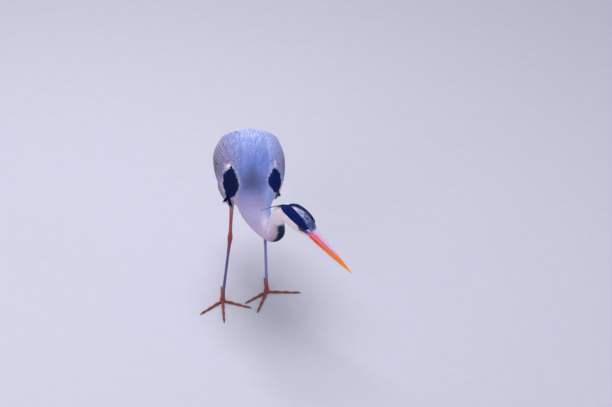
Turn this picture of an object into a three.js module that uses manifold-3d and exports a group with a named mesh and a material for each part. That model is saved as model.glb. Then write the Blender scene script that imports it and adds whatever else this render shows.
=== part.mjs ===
// A life-size grey heron (Ardea cinerea) that stands on both feet and peers down to its left.
// Millimetres, +Z up. The bird faces -Y, and its left side is +X.

import * as THREE from "three";
import { mergeVertices } from "three/addons/utils/BufferGeometryUtils.js";
import Module from "manifold-3d";

const wasm = await Module();
wasm.setup();

const GAP = 0.3; // clearance between two parts that touch on the real bird
const SIDES = { left: 1, right: -1 };

// ---------------------------------------------------------------- driving sizes

// Trunk stations from breast to tail tip: [y, z] of the back, [y, z] of the belly, and half the width.
const TRUNK = [
  { back: [-82, 331], belly: [-100, 286], half: 24 },
  { back: [-64, 357], belly: [-88, 263], half: 43 },
  { back: [-27, 387], belly: [-50, 249], half: 58 },
  { back: [25, 400], belly: [0, 243], half: 66 },
  { back: [80, 386], belly: [55, 240], half: 66 },
  { back: [130, 353], belly: [105, 237], half: 58 },
  { back: [178, 313], belly: [152, 235], half: 44 },
  { back: [212, 281], belly: [196, 238], half: 28 },
  { back: [243, 256], belly: [236, 230], half: 25 },
  { back: [273, 235], belly: [269, 221], half: 21 },
];
const RUMP = 7; // the station where the trunk ends and the tail begins
const LAST = TRUNK.length - 1;
const LEAN = { slope: 0.07, hips: 295 }; // the trunk leans a little to the left above its hips
const TRUNK_SCALE = [46, 1.05]; // millimetres for one station along it, and for one degree round it

// Neck stations from the breast to the nape: centre, the way its back faces, and half its width and depth.
const NECK = [
  { at: [0, -74, 308], back: [0, 0.4, 1], half: 50, deep: 40 },
  { at: [-1, -96, 299], back: [0, -0.5, 1], half: 42.5, deep: 36 },
  { at: [3, -116, 283], back: [-0.1, -0.6, 1], half: 33.5, deep: 29.5 },
  { at: [15, -134, 265], back: [-0.4, -0.3, 1], half: 26, deep: 25.5 },
  { at: [34, -151, 251], back: [-0.7, 0.3, 0.9], half: 21.5, deep: 22 },
  { at: [42, -167, 262], back: [-0.8, 0.8, 0.5], half: 18.5, deep: 19.5 },
  { at: [40, -184, 287], back: [-0.8, 1, 0.3], half: 17.5, deep: 18.5 },
  { at: [37, -205, 314], back: [-0.8, 1, 0.3], half: 17, deep: 18 },
  { at: [37, -225, 339], back: [-0.9, 0.9, 0.4], half: 17.5, deep: 18.5 },
  { at: [43, -239, 358], back: [-0.9, 0.6, 0.6], half: 18, deep: 19 },
  { at: [56, -250, 364], back: [-0.4, -0.2, 1], half: 19, deep: 19 },
];
const NECK_CUTS = { base: 0.19, bend: 0.33, upper: 0.53, nape: 0.83 };

// The head: the point between the eyes, the way the bill points, and the way the crown faces.
const BROW_AT = new THREE.Vector3(88.5, -275, 344);
const BILL_WAY = new THREE.Vector3(0.682, -0.447, -0.579);
const CROWN_WAY = new THREE.Vector3(0.383, -0.457, 0.803);

// Head stations along the bill's axis from the eyes: crown and chin heights, and half the width.
const HEAD = [
  { x: -66, crown: -3, chin: -20, half: 9 },
  { x: -57, crown: 10, chin: -32, half: 17 },
  { x: -42, crown: 18.5, chin: -35, half: 21 },
  { x: -24, crown: 23, chin: -33.5, half: 22.5 },
  { x: -6, crown: 23.5, chin: -28.5, half: 21.5 },
  { x: 8, crown: 20.5, chin: -23.5, half: 18.5 },
  { x: 18, crown: 16, chin: -19.5, half: 14.8 },
  { x: 26, crown: 12, chin: -16.6, half: 11.5 },
];
const HEAD_SCALE = [92, 0.4]; // millimetres for its whole length, and for one degree round it
const EYE = { radius: 8, out: 14.4, up: 1.5, lid: 6.1, lidThick: 1.25 };
const BILL = { base: 26, length: 122, half: 10.4, culmen: 11, gape: -5.5, keel: -15.6, tip: -4.5 };
const MOUTH_SLIT = { back: 4, thick: 0.6, drop: 3.5, width: 60 };
const NOSTRIL = { x: 38, up: 3, long: 7, high: 1, deep: 1.6, out: 8.6 };

// Legs: ankle on the foot, hock, the place where the bare shin leaves the feathers, and knee.
const LEGS = {
  right: { foot: [-54.5, -33], hock: [-40, -8, 154], shin: [-38, 5, 231], knee: [-50, 32, 292] },
  left: { foot: [51, 0], hock: [43, 18, 155], shin: [47, 27, 231], knee: [50, 42, 292] },
};
const LEG = { ankle: 11, tarsus: 3.3, hock: 5.6, shin: 3.9, shinTop: 6.2, thigh: 27, thighEnd: 8.2 };
const HEEL = { sole: 7.2, top: 4.6 };

// Toes: length, and the way each points, in degrees from straight ahead towards the bird's left.
const TOES = {
  inner: { long: 61, left: -50, right: 62, claw: 12 },
  middle: { long: 79, left: -20, right: -4, claw: 14 },
  outer: { long: 68, left: 86, right: -46, claw: 12 },
  hind: { long: 50, left: 178, right: 176, claw: 19 },
};
const TOE = { root: 3.7, tip: 2.4, knuckle: 0.45, base: 22, claw: 2 };

// A folded wing's slab: where it starts and ends round the trunk, its thickness, and how far it is sunk,
// each as [station, value].
const WING = { lift: 0.5, edge: 0.7 };
const WING_TOP = [[0.85, 62], [1.5, 40], [2.5, 29], [4, 25], [6, 28], [7.3, 36], [8.75, 52]];
const WING_FOOT = [[0.85, 98], [1.5, 122], [2.5, 128], [4, 121], [6, 106], [7.3, 92], [8.75, 76]];
const WING_THICK = [[0.85, 4], [1.5, 7.5], [3, 9.5], [5, 8], [7, 4.5], [8.75, 1.3]];
const WING_SINK = [[0.85, -3], [6.2, -3], [7, 0.4], [8.75, 0.4]];
const FEATHER_ROOM = 5.4; // how far the vanes stand off the slab

// A vane's outline from root to tip: [share of its length, share of its half width].
const BLUNT = [[0, 0.7], [0.35, 1], [0.8, 0.85], [1, 0.15]];
const POINTED = [[0, 0.5], [0.35, 1], [0.7, 0.62], [1, 0.1]];
const PLUME = [[0, 0.6], [0.15, 0.9], [0.6, 0.8], [1, 0.1]];
const [ROOT_AT, TIP_AT] = [0.08, 0.82]; // shares of a vane's length where its root ends and its tip begins
const VANE = 0.6; // a vane's thickness

// How far a vane stands off what it grows from: [share of its length, height].
const SHINGLED = [[0, -3], [ROOT_AT, 1], [1, 4.2]];
const RAISED = [[0, -2.6], [ROOT_AT, 3.4], [1, 5]];

// Tiers of feathers on a wing. Roots and tips run from a tier's first vane to its last, as
// [station, degrees]. Tilt is the rise from a vane's middle to its edge. It is split into spans
// along it and folds across it.
const TIERS = {
  primaries: {
    count: 3, root: [[6.5, 60], [6.3, 86]], tip: [[8.95, 58], [7.9, 79]],
    half: 7, rise: [[0, -2.4], [ROOT_AT, 0.9], [1, 1.6]], tilt: 1.1, outline: POINTED, spans: 4, folds: 1,
  },
  secondaries: {
    count: 6, root: [[4.3, 44], [3.6, 106]], tip: [[8, 46], [6.4, 98]],
    half: 9, rise: SHINGLED, tilt: 1.5, outline: BLUNT, spans: 6, folds: 1,
  },
  greaterCoverts: {
    count: 6, root: [[2.7, 60], [2.45, 111]], tip: [[4.75, 56], [3.9, 113]],
    half: 8.5, rise: SHINGLED, tilt: 1.5, outline: BLUNT, spans: 5, folds: 1,
  },
  medianCoverts: {
    count: 6, root: [[1.8, 62], [1.75, 109]], tip: [[3.05, 60], [2.7, 115]],
    half: 8.5, rise: SHINGLED, tilt: 1.4, outline: BLUNT, spans: 4, folds: 1,
  },
  epaulette: {
    count: 3, root: [[1.62, 55], [1.12, 70]], tip: [[1.6, 122], [1.15, 134]],
    half: 7.5, rise: SHINGLED, tilt: 1.5, outline: POINTED, spans: 4, folds: 1,
  },
  scapulars: {
    count: 5, root: [[2.2, 37], [1.9, 50]], tip: [[5.3, 32], [4.5, 51]],
    half: 3.6, rise: RAISED, tilt: 2.1, outline: PLUME, spans: 5, folds: 1,
  },
};

// The tail: twelve vanes from a short core, the middle pair on top.
const TAIL = {
  pairs: 6, half: 8, level: 1.1, drop: 3, root: 3, tip: 4.3,
  start: 7.15, end: 9.02, core: 7.9, coreHalf: 22, coreThick: [9, 3.6],
};

// The crest: a black band on each side of the crown, as [share of the head, degrees, half width], with
// feathers on it, and two plumes that hang from the nape.
const CREST = { top: 1.9, root: -1.5, rings: 7, plumeHalf: 2.2, short: 0.55, fall: 8 };
const CREST_BAND = [[0.1, 28, 4], [0.22, 42, 7.5], [0.38, 50, 9], [0.54, 45, 6.5], [0.66, 38, 2]];
const CREST_TIER = {
  count: 3, root: [[0.58, 43], [0.4, 47]], tip: [[0.27, 55], [0.08, 31]],
  half: 4.5, rise: [[0, 1.2], [0.3, 3], [1, 3.4]], tilt: 0.8, outline: POINTED, spans: 3, folds: 1,
};
const PLUME_END = { right: [-92, -2, -70], left: [-98, 6, -60] };

// Long feathers that hang from the foot of the neck over the breast.
const BREAST = {
  count: 9, neck: 0.13, from: 148, to: 212, sink: 3, half: 5,
  spread: 34, back: -42, low: 229, rise: 9, sag: 4,
};

const COLOURS = {
  grey: 0x8f9cae, black: 0x12151d, white: 0xe8e6e4, bill: 0xe8862a,
  leg: 0xb0645a, claw: 0x35302e, iris: 0xe8c83a,
};
const ROUGH = { grey: 0.8, black: 0.7, white: 0.8, bill: 0.35, leg: 0.6, claw: 0.4, iris: 0.05 };

// ---------------------------------------------------------------- small tools

const { clamp, degToRad: rad, lerp } = THREE.MathUtils;
const vec = (x, y, z) => new THREE.Vector3(x, y, z);
const steps = (count, from = 0, to = 1) =>
  Array.from({ length: count + 1 }, (_, i) => lerp(from, to, i / count));
const wholeTurn = (count) => steps(count - 1, 0, 360 * (1 - 1 / count));

// Reads a table of [place, value] pairs.
function read(table, place) {
  const next = clamp(table.findIndex((row) => row[0] >= place), 1, table.length - 1);
  const [from, to] = [table[next - 1], table[place > table.at(-1)[0] ? table.length - 1 : next]];
  return lerp(from[1], to[1], clamp((place - from[0]) / (to[0] - from[0]), 0, 1));
}

// A manifold solid from a closed three.js geometry.
function solidOf(geometry) {
  const bare = geometry.clone();
  for (const name of ["normal", "uv"]) bare.deleteAttribute(name);
  const merged = mergeVertices(bare, 1e-4);
  const triVerts = new Uint32Array(merged.index.array);
  const vertProperties = merged.attributes.position.array;
  const made = new wasm.Manifold(new wasm.Mesh({ numProp: 3, vertProperties, triVerts }));
  if (made.volume() > 0) return made;
  triVerts.reverse();
  return new wasm.Manifold(new wasm.Mesh({ numProp: 3, vertProperties, triVerts }));
}

// A solid through rings with the same number of points, closed by a fan at each end. On a vane the
// second half of each ring runs back under the first, and is split into triangles alike.
function loft(rings, isVane = false) {
  const count = rings[0].length;
  const points = rings.flat();
  const faces = [];
  rings.slice(1).forEach((_, i) => {
    for (let j = 0; j < count; j++) {
      const [a, b] = [i * count + j, i * count + ((j + 1) % count)];
      const [c, d] = [b + count, a + count];
      if (isVane && j >= count / 2) faces.push(a, b, d, b, c, d);
      else faces.push(a, b, c, a, c, d);
    }
  });
  for (const start of [0, (rings.length - 1) * count]) {
    const ends = points.slice(start, start + count);
    const hub = points.length;
    points.push(ends.reduce((sum, p) => sum.add(p), vec(0, 0, 0)).divideScalar(count));
    for (let j = 0; j < count; j++) {
      const pair = [start + j, start + ((j + 1) % count)];
      faces.push(hub, ...(start ? pair : pair.reverse()));
    }
  }
  return solidOf(new THREE.BufferGeometry().setFromPoints(points).setIndex(faces));
}

// An oval ring round a centre, from the way its side and its top face.
function ring(centre, side, top, half, high, count) {
  return wholeTurn(count).map((degrees) => {
    const a = rad(degrees);
    const out = side.clone().multiplyScalar(half * Math.sin(a));
    return out.addScaledVector(top, high * Math.cos(a)).add(centre);
  });
}

// A round limb along a line of points, with a radius at each and rings square to the line.
function limb(points, radii, count) {
  const ways = points.map((_, i) => {
    const [before, after] = [points[Math.max(i - 1, 0)], points[Math.min(i + 1, points.length - 1)]];
    return after.clone().sub(before).normalize();
  });
  const across = Math.abs(ways[0].z) > 0.8 ? vec(1, 0, 0) : vec(0, 0, 1);
  const rings = points.map((at, i) => {
    const side = ways[i].clone().cross(across).normalize();
    return ring(at, side, side.clone().cross(ways[i]), radii[i], radii[i], count);
  });
  return loft(rings);
}

const join = (solids) => wasm.Manifold.union(solids);
const onBothSides = (make) => Object.values(SIDES).map(make);

// Keeps the part of a solid between two places on a line, less half a gap at each.
function between(solid, from, to) {
  const way = to.clone().sub(from).normalize();
  const back = way.clone().negate();
  const started = solid.trimByPlane(way.toArray(), from.dot(way) + GAP / 2);
  return started.trimByPlane(back.toArray(), to.dot(back) + GAP / 2);
}

const betweenLevels = (solid, low, high) => between(solid, vec(0, 0, low), vec(0, 0, high));
const onFloor = (solid) => solid.trimByPlane([0, 0, 1], 0);

// ---------------------------------------------------------------- feathers

// A thin vane. place gives the point at a share of its length, across it from -1 to 1, and raised.
function vane({ outline, spans = 3, folds = 2 }, place) {
  const rings = [0, ...steps(spans - 2, ROOT_AT, TIP_AT), 1].map((t) => {
    const across = steps(folds, -1, 1).map((share) => share * read(outline, t));
    const top = across.map((wide) => place(t, wide, 0));
    const under = across.map((wide) => place(t, wide, -VANE));
    return [...top, ...under.reverse()];
  });
  return loft(rings, true);
}

// A tier of vanes side by side on a surface, whose roots and tips are at [place along, degrees round].
// surface gives the point there at a height, and scale is the size in millimetres of one step each
// way. The height depends on the place in the whole tier, so that neighbours stay clear of each other.
function tier(surface, scale, { root, tip, ...form }) {
  const mix = (from, to, share) => from.map((value, i) => lerp(value, to[i], share));
  const less = (a, b) => a.map((value, i) => value - b[i]);
  const cross = (a, b) => a[0] * b[1] - a[1] * b[0];
  return steps(form.count - 1).map((place) => {
    const start = mix(...root, place);
    const way = less(mix(...tip, place), start);
    const long = Math.hypot(way[0] * scale[0], way[1] * scale[1]);
    const edge = [-way[1] * scale[1], way[0] * scale[0]].map((side, i) => (side / long / scale[i]) * form.half);
    return vane(form, (t, wide, rise) => {
      const beside = mix(less(root[1], root[0]), less(tip[1], tip[0]), t);
      const share = t + (wide * cross(edge, beside)) / cross(way, beside);
      const [along, round] = start.map((value, i) => value + way[i] * t + edge[i] * wide);
      return surface(along, round, read(form.rise, share) + form.tilt * wide + rise);
    });
  });
}

// ---------------------------------------------------------------- trunk

const stationLine = (name) =>
  new THREE.CatmullRomCurve3(TRUNK.map((s) => vec(s.half, ...s[name])), false, "centripetal");
const TRUNK_LINES = { back: stationLine("back"), belly: stationLine("belly") };

// The middle of the trunk at a station, the way its back faces, and half its width and height.
function trunkSection(station) {
  const back = TRUNK_LINES.back.getPoint(clamp(station / LAST, 0, 1));
  const belly = TRUNK_LINES.belly.getPoint(clamp(station / LAST, 0, 1));
  const up = back.clone().sub(belly).setX(0);
  const high = up.length() / 2;
  return { centre: back.clone().add(belly).setX(0).divideScalar(2), up: up.normalize(), half: back.x, high };
}

function lean(point) {
  point.x += LEAN.slope * (point.z - LEAN.hips);
  return point;
}

// The point of the trunk's outside at a station, at an angle from the back, and raised off it.
function trunkPoint(station, degrees, rise = 0) {
  const { centre, up, half, high } = trunkSection(station);
  const a = rad(degrees);
  const out = vec((half + rise) * Math.sin(a), 0, 0).addScaledVector(up, (high + rise) * Math.cos(a));
  return lean(centre.add(out));
}

function trunkShell(rise = 0) {
  const places = wholeTurn(24);
  const rings = steps(17, 0, RUMP - GAP / TRUNK_SCALE[0]).map((s) =>
    places.map((a) => trunkPoint(s, a, rise)),
  );
  const breast = places.map((a) => trunkPoint(0, a, rise - 14).add(vec(0, -7, -2)));
  return loft([breast, ...rings]);
}

// ---------------------------------------------------------------- neck

const NECK_LINE = new THREE.CatmullRomCurve3(NECK.map((n) => vec(...n.at)), false, "centripetal");
const NECK_BACK = new THREE.CatmullRomCurve3(NECK.map((n) => vec(...n.back)));
const NECK_SIZE = new THREE.CatmullRomCurve3(NECK.map((n) => vec(n.half, n.deep, 0)));
const NECK_GAP = GAP / NECK_LINE.getLength();

// The ring round the neck at a share of its length.
function neckRing(t, rise = 0, count = 18) {
  const way = NECK_LINE.getTangent(t);
  const side = NECK_BACK.getPoint(t).cross(way).normalize();
  const size = NECK_SIZE.getPoint(t);
  return ring(NECK_LINE.getPoint(t), side, way.clone().cross(side), size.x + rise, size.y + rise, count);
}

function neckPiece(from, to, rise = 0) {
  const count = Math.max(2, Math.round((to - from) / 0.04));
  return loft(steps(count, from + NECK_GAP / 2, to - NECK_GAP / 2).map((t) => neckRing(t, rise)));
}

// The torso's outside with the foot of the neck, raised, which its neighbours are cut clear of.
const torsoBody = (rise = 0) => join([trunkShell(rise), neckPiece(0, NECK_CUTS.base, rise)]);

// Plumes that leave the foot of the neck and hang back under the breast.
function breastPlumes() {
  return steps(BREAST.count - 1, -1, 1).map((place) => {
    const turn = lerp(BREAST.from, BREAST.to, (1 - place) / 2);
    const root = neckRing(BREAST.neck, -BREAST.sink, 360)[Math.round(turn)];
    const tip = vec(place * BREAST.spread, BREAST.back, BREAST.low + BREAST.rise * Math.abs(place));
    return vane({ outline: POINTED }, (t, wide, rise) => {
      const sag = BREAST.sag * Math.sin(Math.PI * t);
      const tilt = Math.abs(place) * place * wide * 3;
      return root.clone().lerp(tip, t).add(vec(wide * BREAST.half, 0, tilt + rise - sag));
    });
  });
}

// ---------------------------------------------------------------- head

const HEAD_LINE = new THREE.CatmullRomCurve3(HEAD.map((s) => vec(s.half, s.crown, s.chin)));
const HEAD_X = new THREE.CatmullRomCurve3(HEAD.map((s) => vec(s.x, 0, 0)));
const HEAD_SIDE = CROWN_WAY.clone().cross(BILL_WAY).normalize();
const HEAD_TURN = new THREE.Matrix4().makeBasis(
  BILL_WAY.clone().normalize(),
  HEAD_SIDE,
  BILL_WAY.clone().normalize().cross(HEAD_SIDE),
);
const TO_HEAD = HEAD_TURN.clone().setPosition(BROW_AT).invert();

// A point of the head's outside at a share of its length, at an angle from the crown, raised off it.
function headPoint(t, degrees, rise = 0) {
  const { x: half, y: crown, z: chin } = HEAD_LINE.getPoint(t);
  const a = rad(degrees);
  const high = (crown - chin) / 2;
  const up = (crown + chin) / 2 + (high + rise) * Math.cos(a);
  return vec(HEAD_X.getPoint(t).x, (half + rise) * Math.sin(a), up);
}

function headShell(rise = 0) {
  const places = wholeTurn(20);
  const rings = steps(13).map((t) => places.map((a) => headPoint(t, a, rise)));
  const nape = places.map((a) => headPoint(0, a, rise - 4).add(vec(-3, 0, 0)));
  return loft([nape, ...rings]);
}

function eyeBall(side, rise = 0) {
  const globe = new THREE.SphereGeometry(EYE.radius + rise, 14, 8);
  return solidOf(globe.translate(0, side * EYE.out, EYE.up));
}

// The ring of both lids round an eye.
function lids(side) {
  const rim = new THREE.TorusGeometry(EYE.lid, EYE.lidThick, 5, 14).scale(1.12, 0.95, 1);
  rim.rotateX(Math.PI / 2 - rad(8) * side);
  return solidOf(rim.translate(0, side * (EYE.out + EYE.radius * 0.62), EYE.up));
}

// The height of the line between the mandibles.
const mouthLine = (x) => lerp(BILL.gape, BILL.tip, (x - BILL.base) / BILL.length);

// The cut that carries the line of the mouth back from the bill to below the eye.
function mouthSlit() {
  const { back, thick, drop, width } = MOUTH_SLIT;
  const front = BILL.base + 2;
  const low = BILL.gape - drop;
  const outline = [[back, low], [front, BILL.gape], [front, BILL.gape - thick], [back, low - thick]];
  const shape = new THREE.Shape(outline.map((p) => new THREE.Vector2(...p)));
  const slab = new THREE.ExtrudeGeometry(shape, { depth: width, bevelEnabled: false });
  return solidOf(slab.rotateX(Math.PI / 2).translate(0, width / 2, 0));
}

function headSolid() {
  const stub = neckPiece(NECK_CUTS.nape, 1).transform(TO_HEAD.elements);
  const flesh = join([headShell(), stub, ...onBothSides(lids)]);
  const face = flesh.trimByPlane([-1, 0, 0], GAP / 2 - BILL.base);
  return face.subtract(join([mouthSlit(), ...onBothSides((side) => eyeBall(side, GAP))]));
}

// One half of the bill: its inner face is the line of the mouth.
function mandible(upper) {
  const away = upper ? 1 : -1;
  const rings = [0, 0.06, 0.15, 0.3, 0.45, 0.6, 0.75, 0.88, 0.96, 0.995].map((t) => {
    const x = BILL.base + GAP / 2 + t * BILL.length;
    const half = BILL.half * (1 - t) ** 0.75 * (1 - 0.2 * Math.sin(Math.PI * t)) + 0.35;
    const inner = mouthLine(x) + (away * GAP) / 2;
    const outer = lerp(upper ? BILL.culmen : BILL.keel, BILL.tip + away * 0.9, t ** (upper ? 1.2 : 1.5));
    return steps(9, 0, 180).map((degrees) => {
      const roof = Math.sin(rad(degrees)) ** 0.85;
      return vec(x, half * Math.cos(rad(degrees)), lerp(inner, outer, roof));
    });
  });
  return loft(rings);
}

function nostril(side) {
  const slot = new THREE.SphereGeometry(1, 10, 6).scale(NOSTRIL.long, NOSTRIL.deep, NOSTRIL.high);
  return solidOf(slot.translate(NOSTRIL.x, side * NOSTRIL.out, NOSTRIL.up));
}

const upperBill = () => mandible(true).subtract(join(onBothSides(nostril)));

// ---------------------------------------------------------------- crest

function crestBand(side) {
  const [first, last] = [CREST_BAND[0][0], CREST_BAND.at(-1)[0]];
  const [middles, halves] = [1, 2].map((column) => CREST_BAND.map((row) => [row[0], row[column]]));
  const rings = steps(CREST.rings, last, first).map((t) => {
    const places = steps(3, -1, 1).map((wide) => read(middles, t) + (wide * read(halves, t)) / HEAD_SCALE[1]);
    const row = (rise) => places.map((degrees) => headPoint(t, side * degrees, rise));
    return [...row(CREST.top), ...row(CREST.root).reverse()];
  });
  return loft(rings, true);
}

// A plume that leaves the band at the nape and hangs behind the head.
function napePlume(name, share) {
  const side = SIDES[name];
  const [root, before] = CREST_BAND.slice(0, 2).map(([t, a]) => headPoint(t, side * a, CREST.top - 0.4));
  const way = vec(-74, side * 3, root.z - 15 - CREST.fall * (1 - share));
  const line = new THREE.CatmullRomCurve3([before, root, way, way.clone().lerp(vec(...PLUME_END[name]), share)]);
  const form = { outline: [[0, 1], [0.35, 1], [0.7, 0.7], [1, 0.2]], spans: 4, folds: 1 };
  return vane(form, (t, wide, rise) => {
    const along = lerp(0.25, 1, t);
    const tangent = line.getTangent(along);
    const across = vec(0, 1, 0).addScaledVector(tangent, -tangent.y).normalize();
    const out = across.clone().multiplyScalar(wide * CREST.plumeHalf);
    return out.add(line.getPoint(along)).addScaledVector(across.cross(tangent), rise - 0.2);
  });
}

function crest(name) {
  const side = SIDES[name];
  const surface = (t, degrees, rise) => headPoint(t, side * degrees, rise);
  const feathers = tier(surface, HEAD_SCALE, CREST_TIER);
  const plumes = [1, CREST.short].map((share) => napePlume(name, share));
  return join([crestBand(side), ...feathers, ...plumes]).subtract(headShell(GAP));
}

// ---------------------------------------------------------------- wings and tail

// How far a folded wing's slab stands off the trunk.
function wingRise(station, degrees) {
  const [top, foot] = [read(WING_TOP, station), read(WING_FOOT, station)];
  const share = clamp((degrees - top) / (foot - top), 0, 1);
  return WING.lift + WING.edge + read(WING_THICK, station) * Math.sin(Math.PI * share) ** 0.8;
}

// A folded wing's lens-shaped slab. Grown, it takes in the room of its feathers.
function wingSlab(side, grow = 0) {
  const rings = [0.85, 1.15, 1.6, 2.2, 3, 3.9, 4.8, 5.7, 6.5, 7.2, 8, 8.75].map((s) => {
    const [top, foot] = [read(WING_TOP, s) - grow * 2, read(WING_FOOT, s) + grow * 2];
    const places = steps(8, top, foot);
    const outer = places.map((a) => trunkPoint(s, side * a, wingRise(s, a) + grow));
    const inner = places.map((a) => trunkPoint(s, side * a, read(WING_SINK, s) - grow));
    return [...outer, ...inner.reverse()];
  });
  return loft(rings);
}

function wing(side) {
  const surface = (s, degrees, rise) => trunkPoint(s, side * degrees, wingRise(s, degrees) + rise);
  const feathers = Object.values(TIERS).flatMap((form) => tier(surface, TRUNK_SCALE, form));
  return join([wingSlab(side), ...feathers]).subtract(torsoBody(GAP));
}

// A point of the tail at a station, out from its middle and up from it.
function tailPoint(station, out, rise) {
  const { centre, up } = trunkSection(station);
  return lean(centre.add(vec(out, 0, 0)).addScaledVector(up, rise - TAIL.drop));
}

function tailVane(place) {
  const level = (TAIL.pairs / 2 - Math.abs(place)) * TAIL.level + (place > 0 ? 0 : -0.4);
  return vane({ outline: BLUNT, folds: 1 }, (t, wide, rise) => {
    const station = lerp(TAIL.start, TAIL.end - 0.02 * Math.abs(place), t);
    return tailPoint(station, place * lerp(TAIL.root, TAIL.tip, t) + wide * TAIL.half, level + rise);
  });
}

function tail() {
  const core = steps(2, RUMP + GAP / TRUNK_SCALE[0], TAIL.core).map((s, i) => {
    const { up } = trunkSection(s);
    const thick = lerp(...TAIL.coreThick, i / 2);
    return ring(tailPoint(s, 0, 0), vec(1, 0, 0), up, TAIL.coreHalf - 2 * i, thick, 14);
  });
  const vanes = steps(2 * TAIL.pairs - 1, 0.5 - TAIL.pairs, TAIL.pairs - 0.5).map(tailVane);
  return join([loft(core), ...vanes]);
}

// ---------------------------------------------------------------- legs

const along = (from, to, t) => vec(...from).lerp(vec(...to), t);

// The feathered thigh, cut clear of the torso and the wing.
function thigh(name) {
  const { shin, knee } = LEGS[name];
  const radii = [LEG.thigh, LEG.thigh, LEG.thigh * 0.82, LEG.thigh * 0.58, LEG.thighEnd, LEG.thighEnd];
  const line = [0.1, 0.35, 0.6, 0.82, 1, 1.1].map((t) => along(knee, shin, t));
  const whole = betweenLevels(limb(line, radii, 16), shin[2], knee[2]);
  return whole.subtract(join([torsoBody(GAP), wingSlab(SIDES[name], FEATHER_ROOM)]));
}

function shin(name) {
  const { shin: top, hock } = LEGS[name];
  const radii = [LEG.shinTop, LEG.shinTop, LEG.shin * 1.15, LEG.shin, LEG.shin, LEG.hock, LEG.hock];
  const line = [-0.1, 0.04, 0.18, 0.5, 0.85, 0.93, 1.1].map((t) => along(top, hock, t));
  return betweenLevels(limb(line, radii, 12), hock[2], top[2]);
}

function tarsus(name) {
  const { foot, hock } = LEGS[name];
  const places = [[1.05, 1], [0.955, 1], [0.9, 0], [0.5, 0], [0.15, 0], [0.05, 0.4], [-0.05, 0.6]];
  const line = places.map(([t]) => along([...foot, LEG.ankle], hock, t));
  const radii = places.map(([, swell]) => lerp(LEG.tarsus, LEG.hock, swell));
  return betweenLevels(limb(line, radii, 12), LEG.ankle, hock[2]);
}

// The centre of a toe at a distance from the ankle.
function toePoint(name, which, distance, lift = 0) {
  const [x, y] = LEGS[name].foot;
  const a = rad(TOES[which][name]);
  return vec(x + distance * Math.sin(a), y - distance * Math.cos(a), lift);
}

function toeRadius(which, distance) {
  const share = distance / TOES[which].long;
  return lerp(TOE.root, TOE.tip, share) + TOE.knuckle * Math.cos(share * 6 * Math.PI);
}

// A toe between two distances from the ankle, flat underneath.
function toePiece(name, which, from, to) {
  const places = steps(Math.max(2, Math.round((to - from) / 9)), from - 1, to + 1);
  const radii = places.map((distance) => toeRadius(which, distance));
  const line = places.map((distance, i) => toePoint(name, which, distance, radii[i] * 0.8));
  const whole = onFloor(limb(line, radii, 8));
  return between(whole, toePoint(name, which, from), toePoint(name, which, to));
}

function foot(name) {
  const [x, y] = LEGS[name].foot;
  const bases = Object.keys(TOES).map((which) => toePiece(name, which, TOE.root, TOE.base));
  const heel = limb([1.5, LEG.ankle / 2, LEG.ankle + 2].map((z) => vec(x, y, z)),
    [HEEL.sole, HEEL.sole, HEEL.top], 12);
  return betweenLevels(join([onFloor(heel), ...bases]), -1, LEG.ankle);
}

const toe = (name, which) => toePiece(name, which, TOE.base, TOES[which].long);

// A claw that arches a little and ends in a point on the floor.
function claw(name, which) {
  const { long, claw: reach } = TOES[which];
  const shares = [-0.05, 0.3, 0.65, 1];
  const line = shares.map((t) => {
    const arch = 1 + 0.5 * Math.sin(Math.PI * clamp(t, 0, 1));
    return toePoint(name, which, long + reach * t, TOE.claw * arch * (1 - 0.75 * t * t) + 0.15);
  });
  const radii = shares.map((t) => TOE.claw * Math.min(1, 1 - t) ** 0.7 + 0.25);
  const [root, end] = [long, long + reach + 1].map((distance) => toePoint(name, which, distance));
  return between(onFloor(limb(line, radii, 8)), root, end);
}

// ---------------------------------------------------------------- the scene

const bird = new THREE.Group();
const headGroup = new THREE.Group();
headGroup.position.copy(BROW_AT);
headGroup.quaternion.setFromRotationMatrix(HEAD_TURN);
bird.add(headGroup);

// Adds a solid as a named mesh, keeping its largest closed surface.
function add(name, solid, colour, parent = bird) {
  const [largest] = solid.decompose().sort((a, b) => b.volume() - a.volume());
  const { vertProperties, triVerts } = largest.getMesh();
  const geometry = new THREE.BufferGeometry();
  geometry.setAttribute("position", new THREE.BufferAttribute(vertProperties, 3));
  geometry.setIndex(new THREE.BufferAttribute(triVerts, 1));
  geometry.computeVertexNormals();
  const look = { color: COLOURS[colour], roughness: ROUGH[colour], metalness: 0 };
  const mesh = new THREE.Mesh(geometry, new THREE.MeshStandardMaterial(look));
  mesh.name = name;
  parent.add(mesh);
}

add("torso", join([torsoBody(), ...breastPlumes()]), "grey");
add("neck_lower", neckPiece(NECK_CUTS.base, NECK_CUTS.bend), "white");
add("neck_bend", neckPiece(NECK_CUTS.bend, NECK_CUTS.upper), "white");
add("neck_upper", neckPiece(NECK_CUTS.upper, NECK_CUTS.nape), "white");
add("tail", tail(), "grey");

add("head", headSolid(), "white", headGroup);
add("bill_upper", upperBill(), "bill", headGroup);
add("bill_lower", mandible(false), "bill", headGroup);

for (const [name, side] of Object.entries(SIDES)) {
  add(`eye_${name}`, eyeBall(side), "iris", headGroup);
  add(`crest_${name}`, crest(name), "black", headGroup);
  add(`wing_${name}`, wing(side), "grey");
  add(`thigh_${name}`, thigh(name), "white");
  add(`shin_${name}`, shin(name), "leg");
  add(`tarsus_${name}`, tarsus(name), "leg");
  add(`foot_${name}`, foot(name), "leg");
  for (const which of Object.keys(TOES)) {
    add(`toe_${name}_${which}`, toe(name, which), "leg");
    add(`claw_${name}_${which}`, claw(name, which), "claw");
  }
}

// The origin is on the floor, under the middle of the bird.
const box = new THREE.Box3().setFromObject(bird, true);
const middle = box.getCenter(vec(0, 0, 0));
bird.position.set(-middle.x, -middle.y, -box.min.z);

export default bird;
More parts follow.
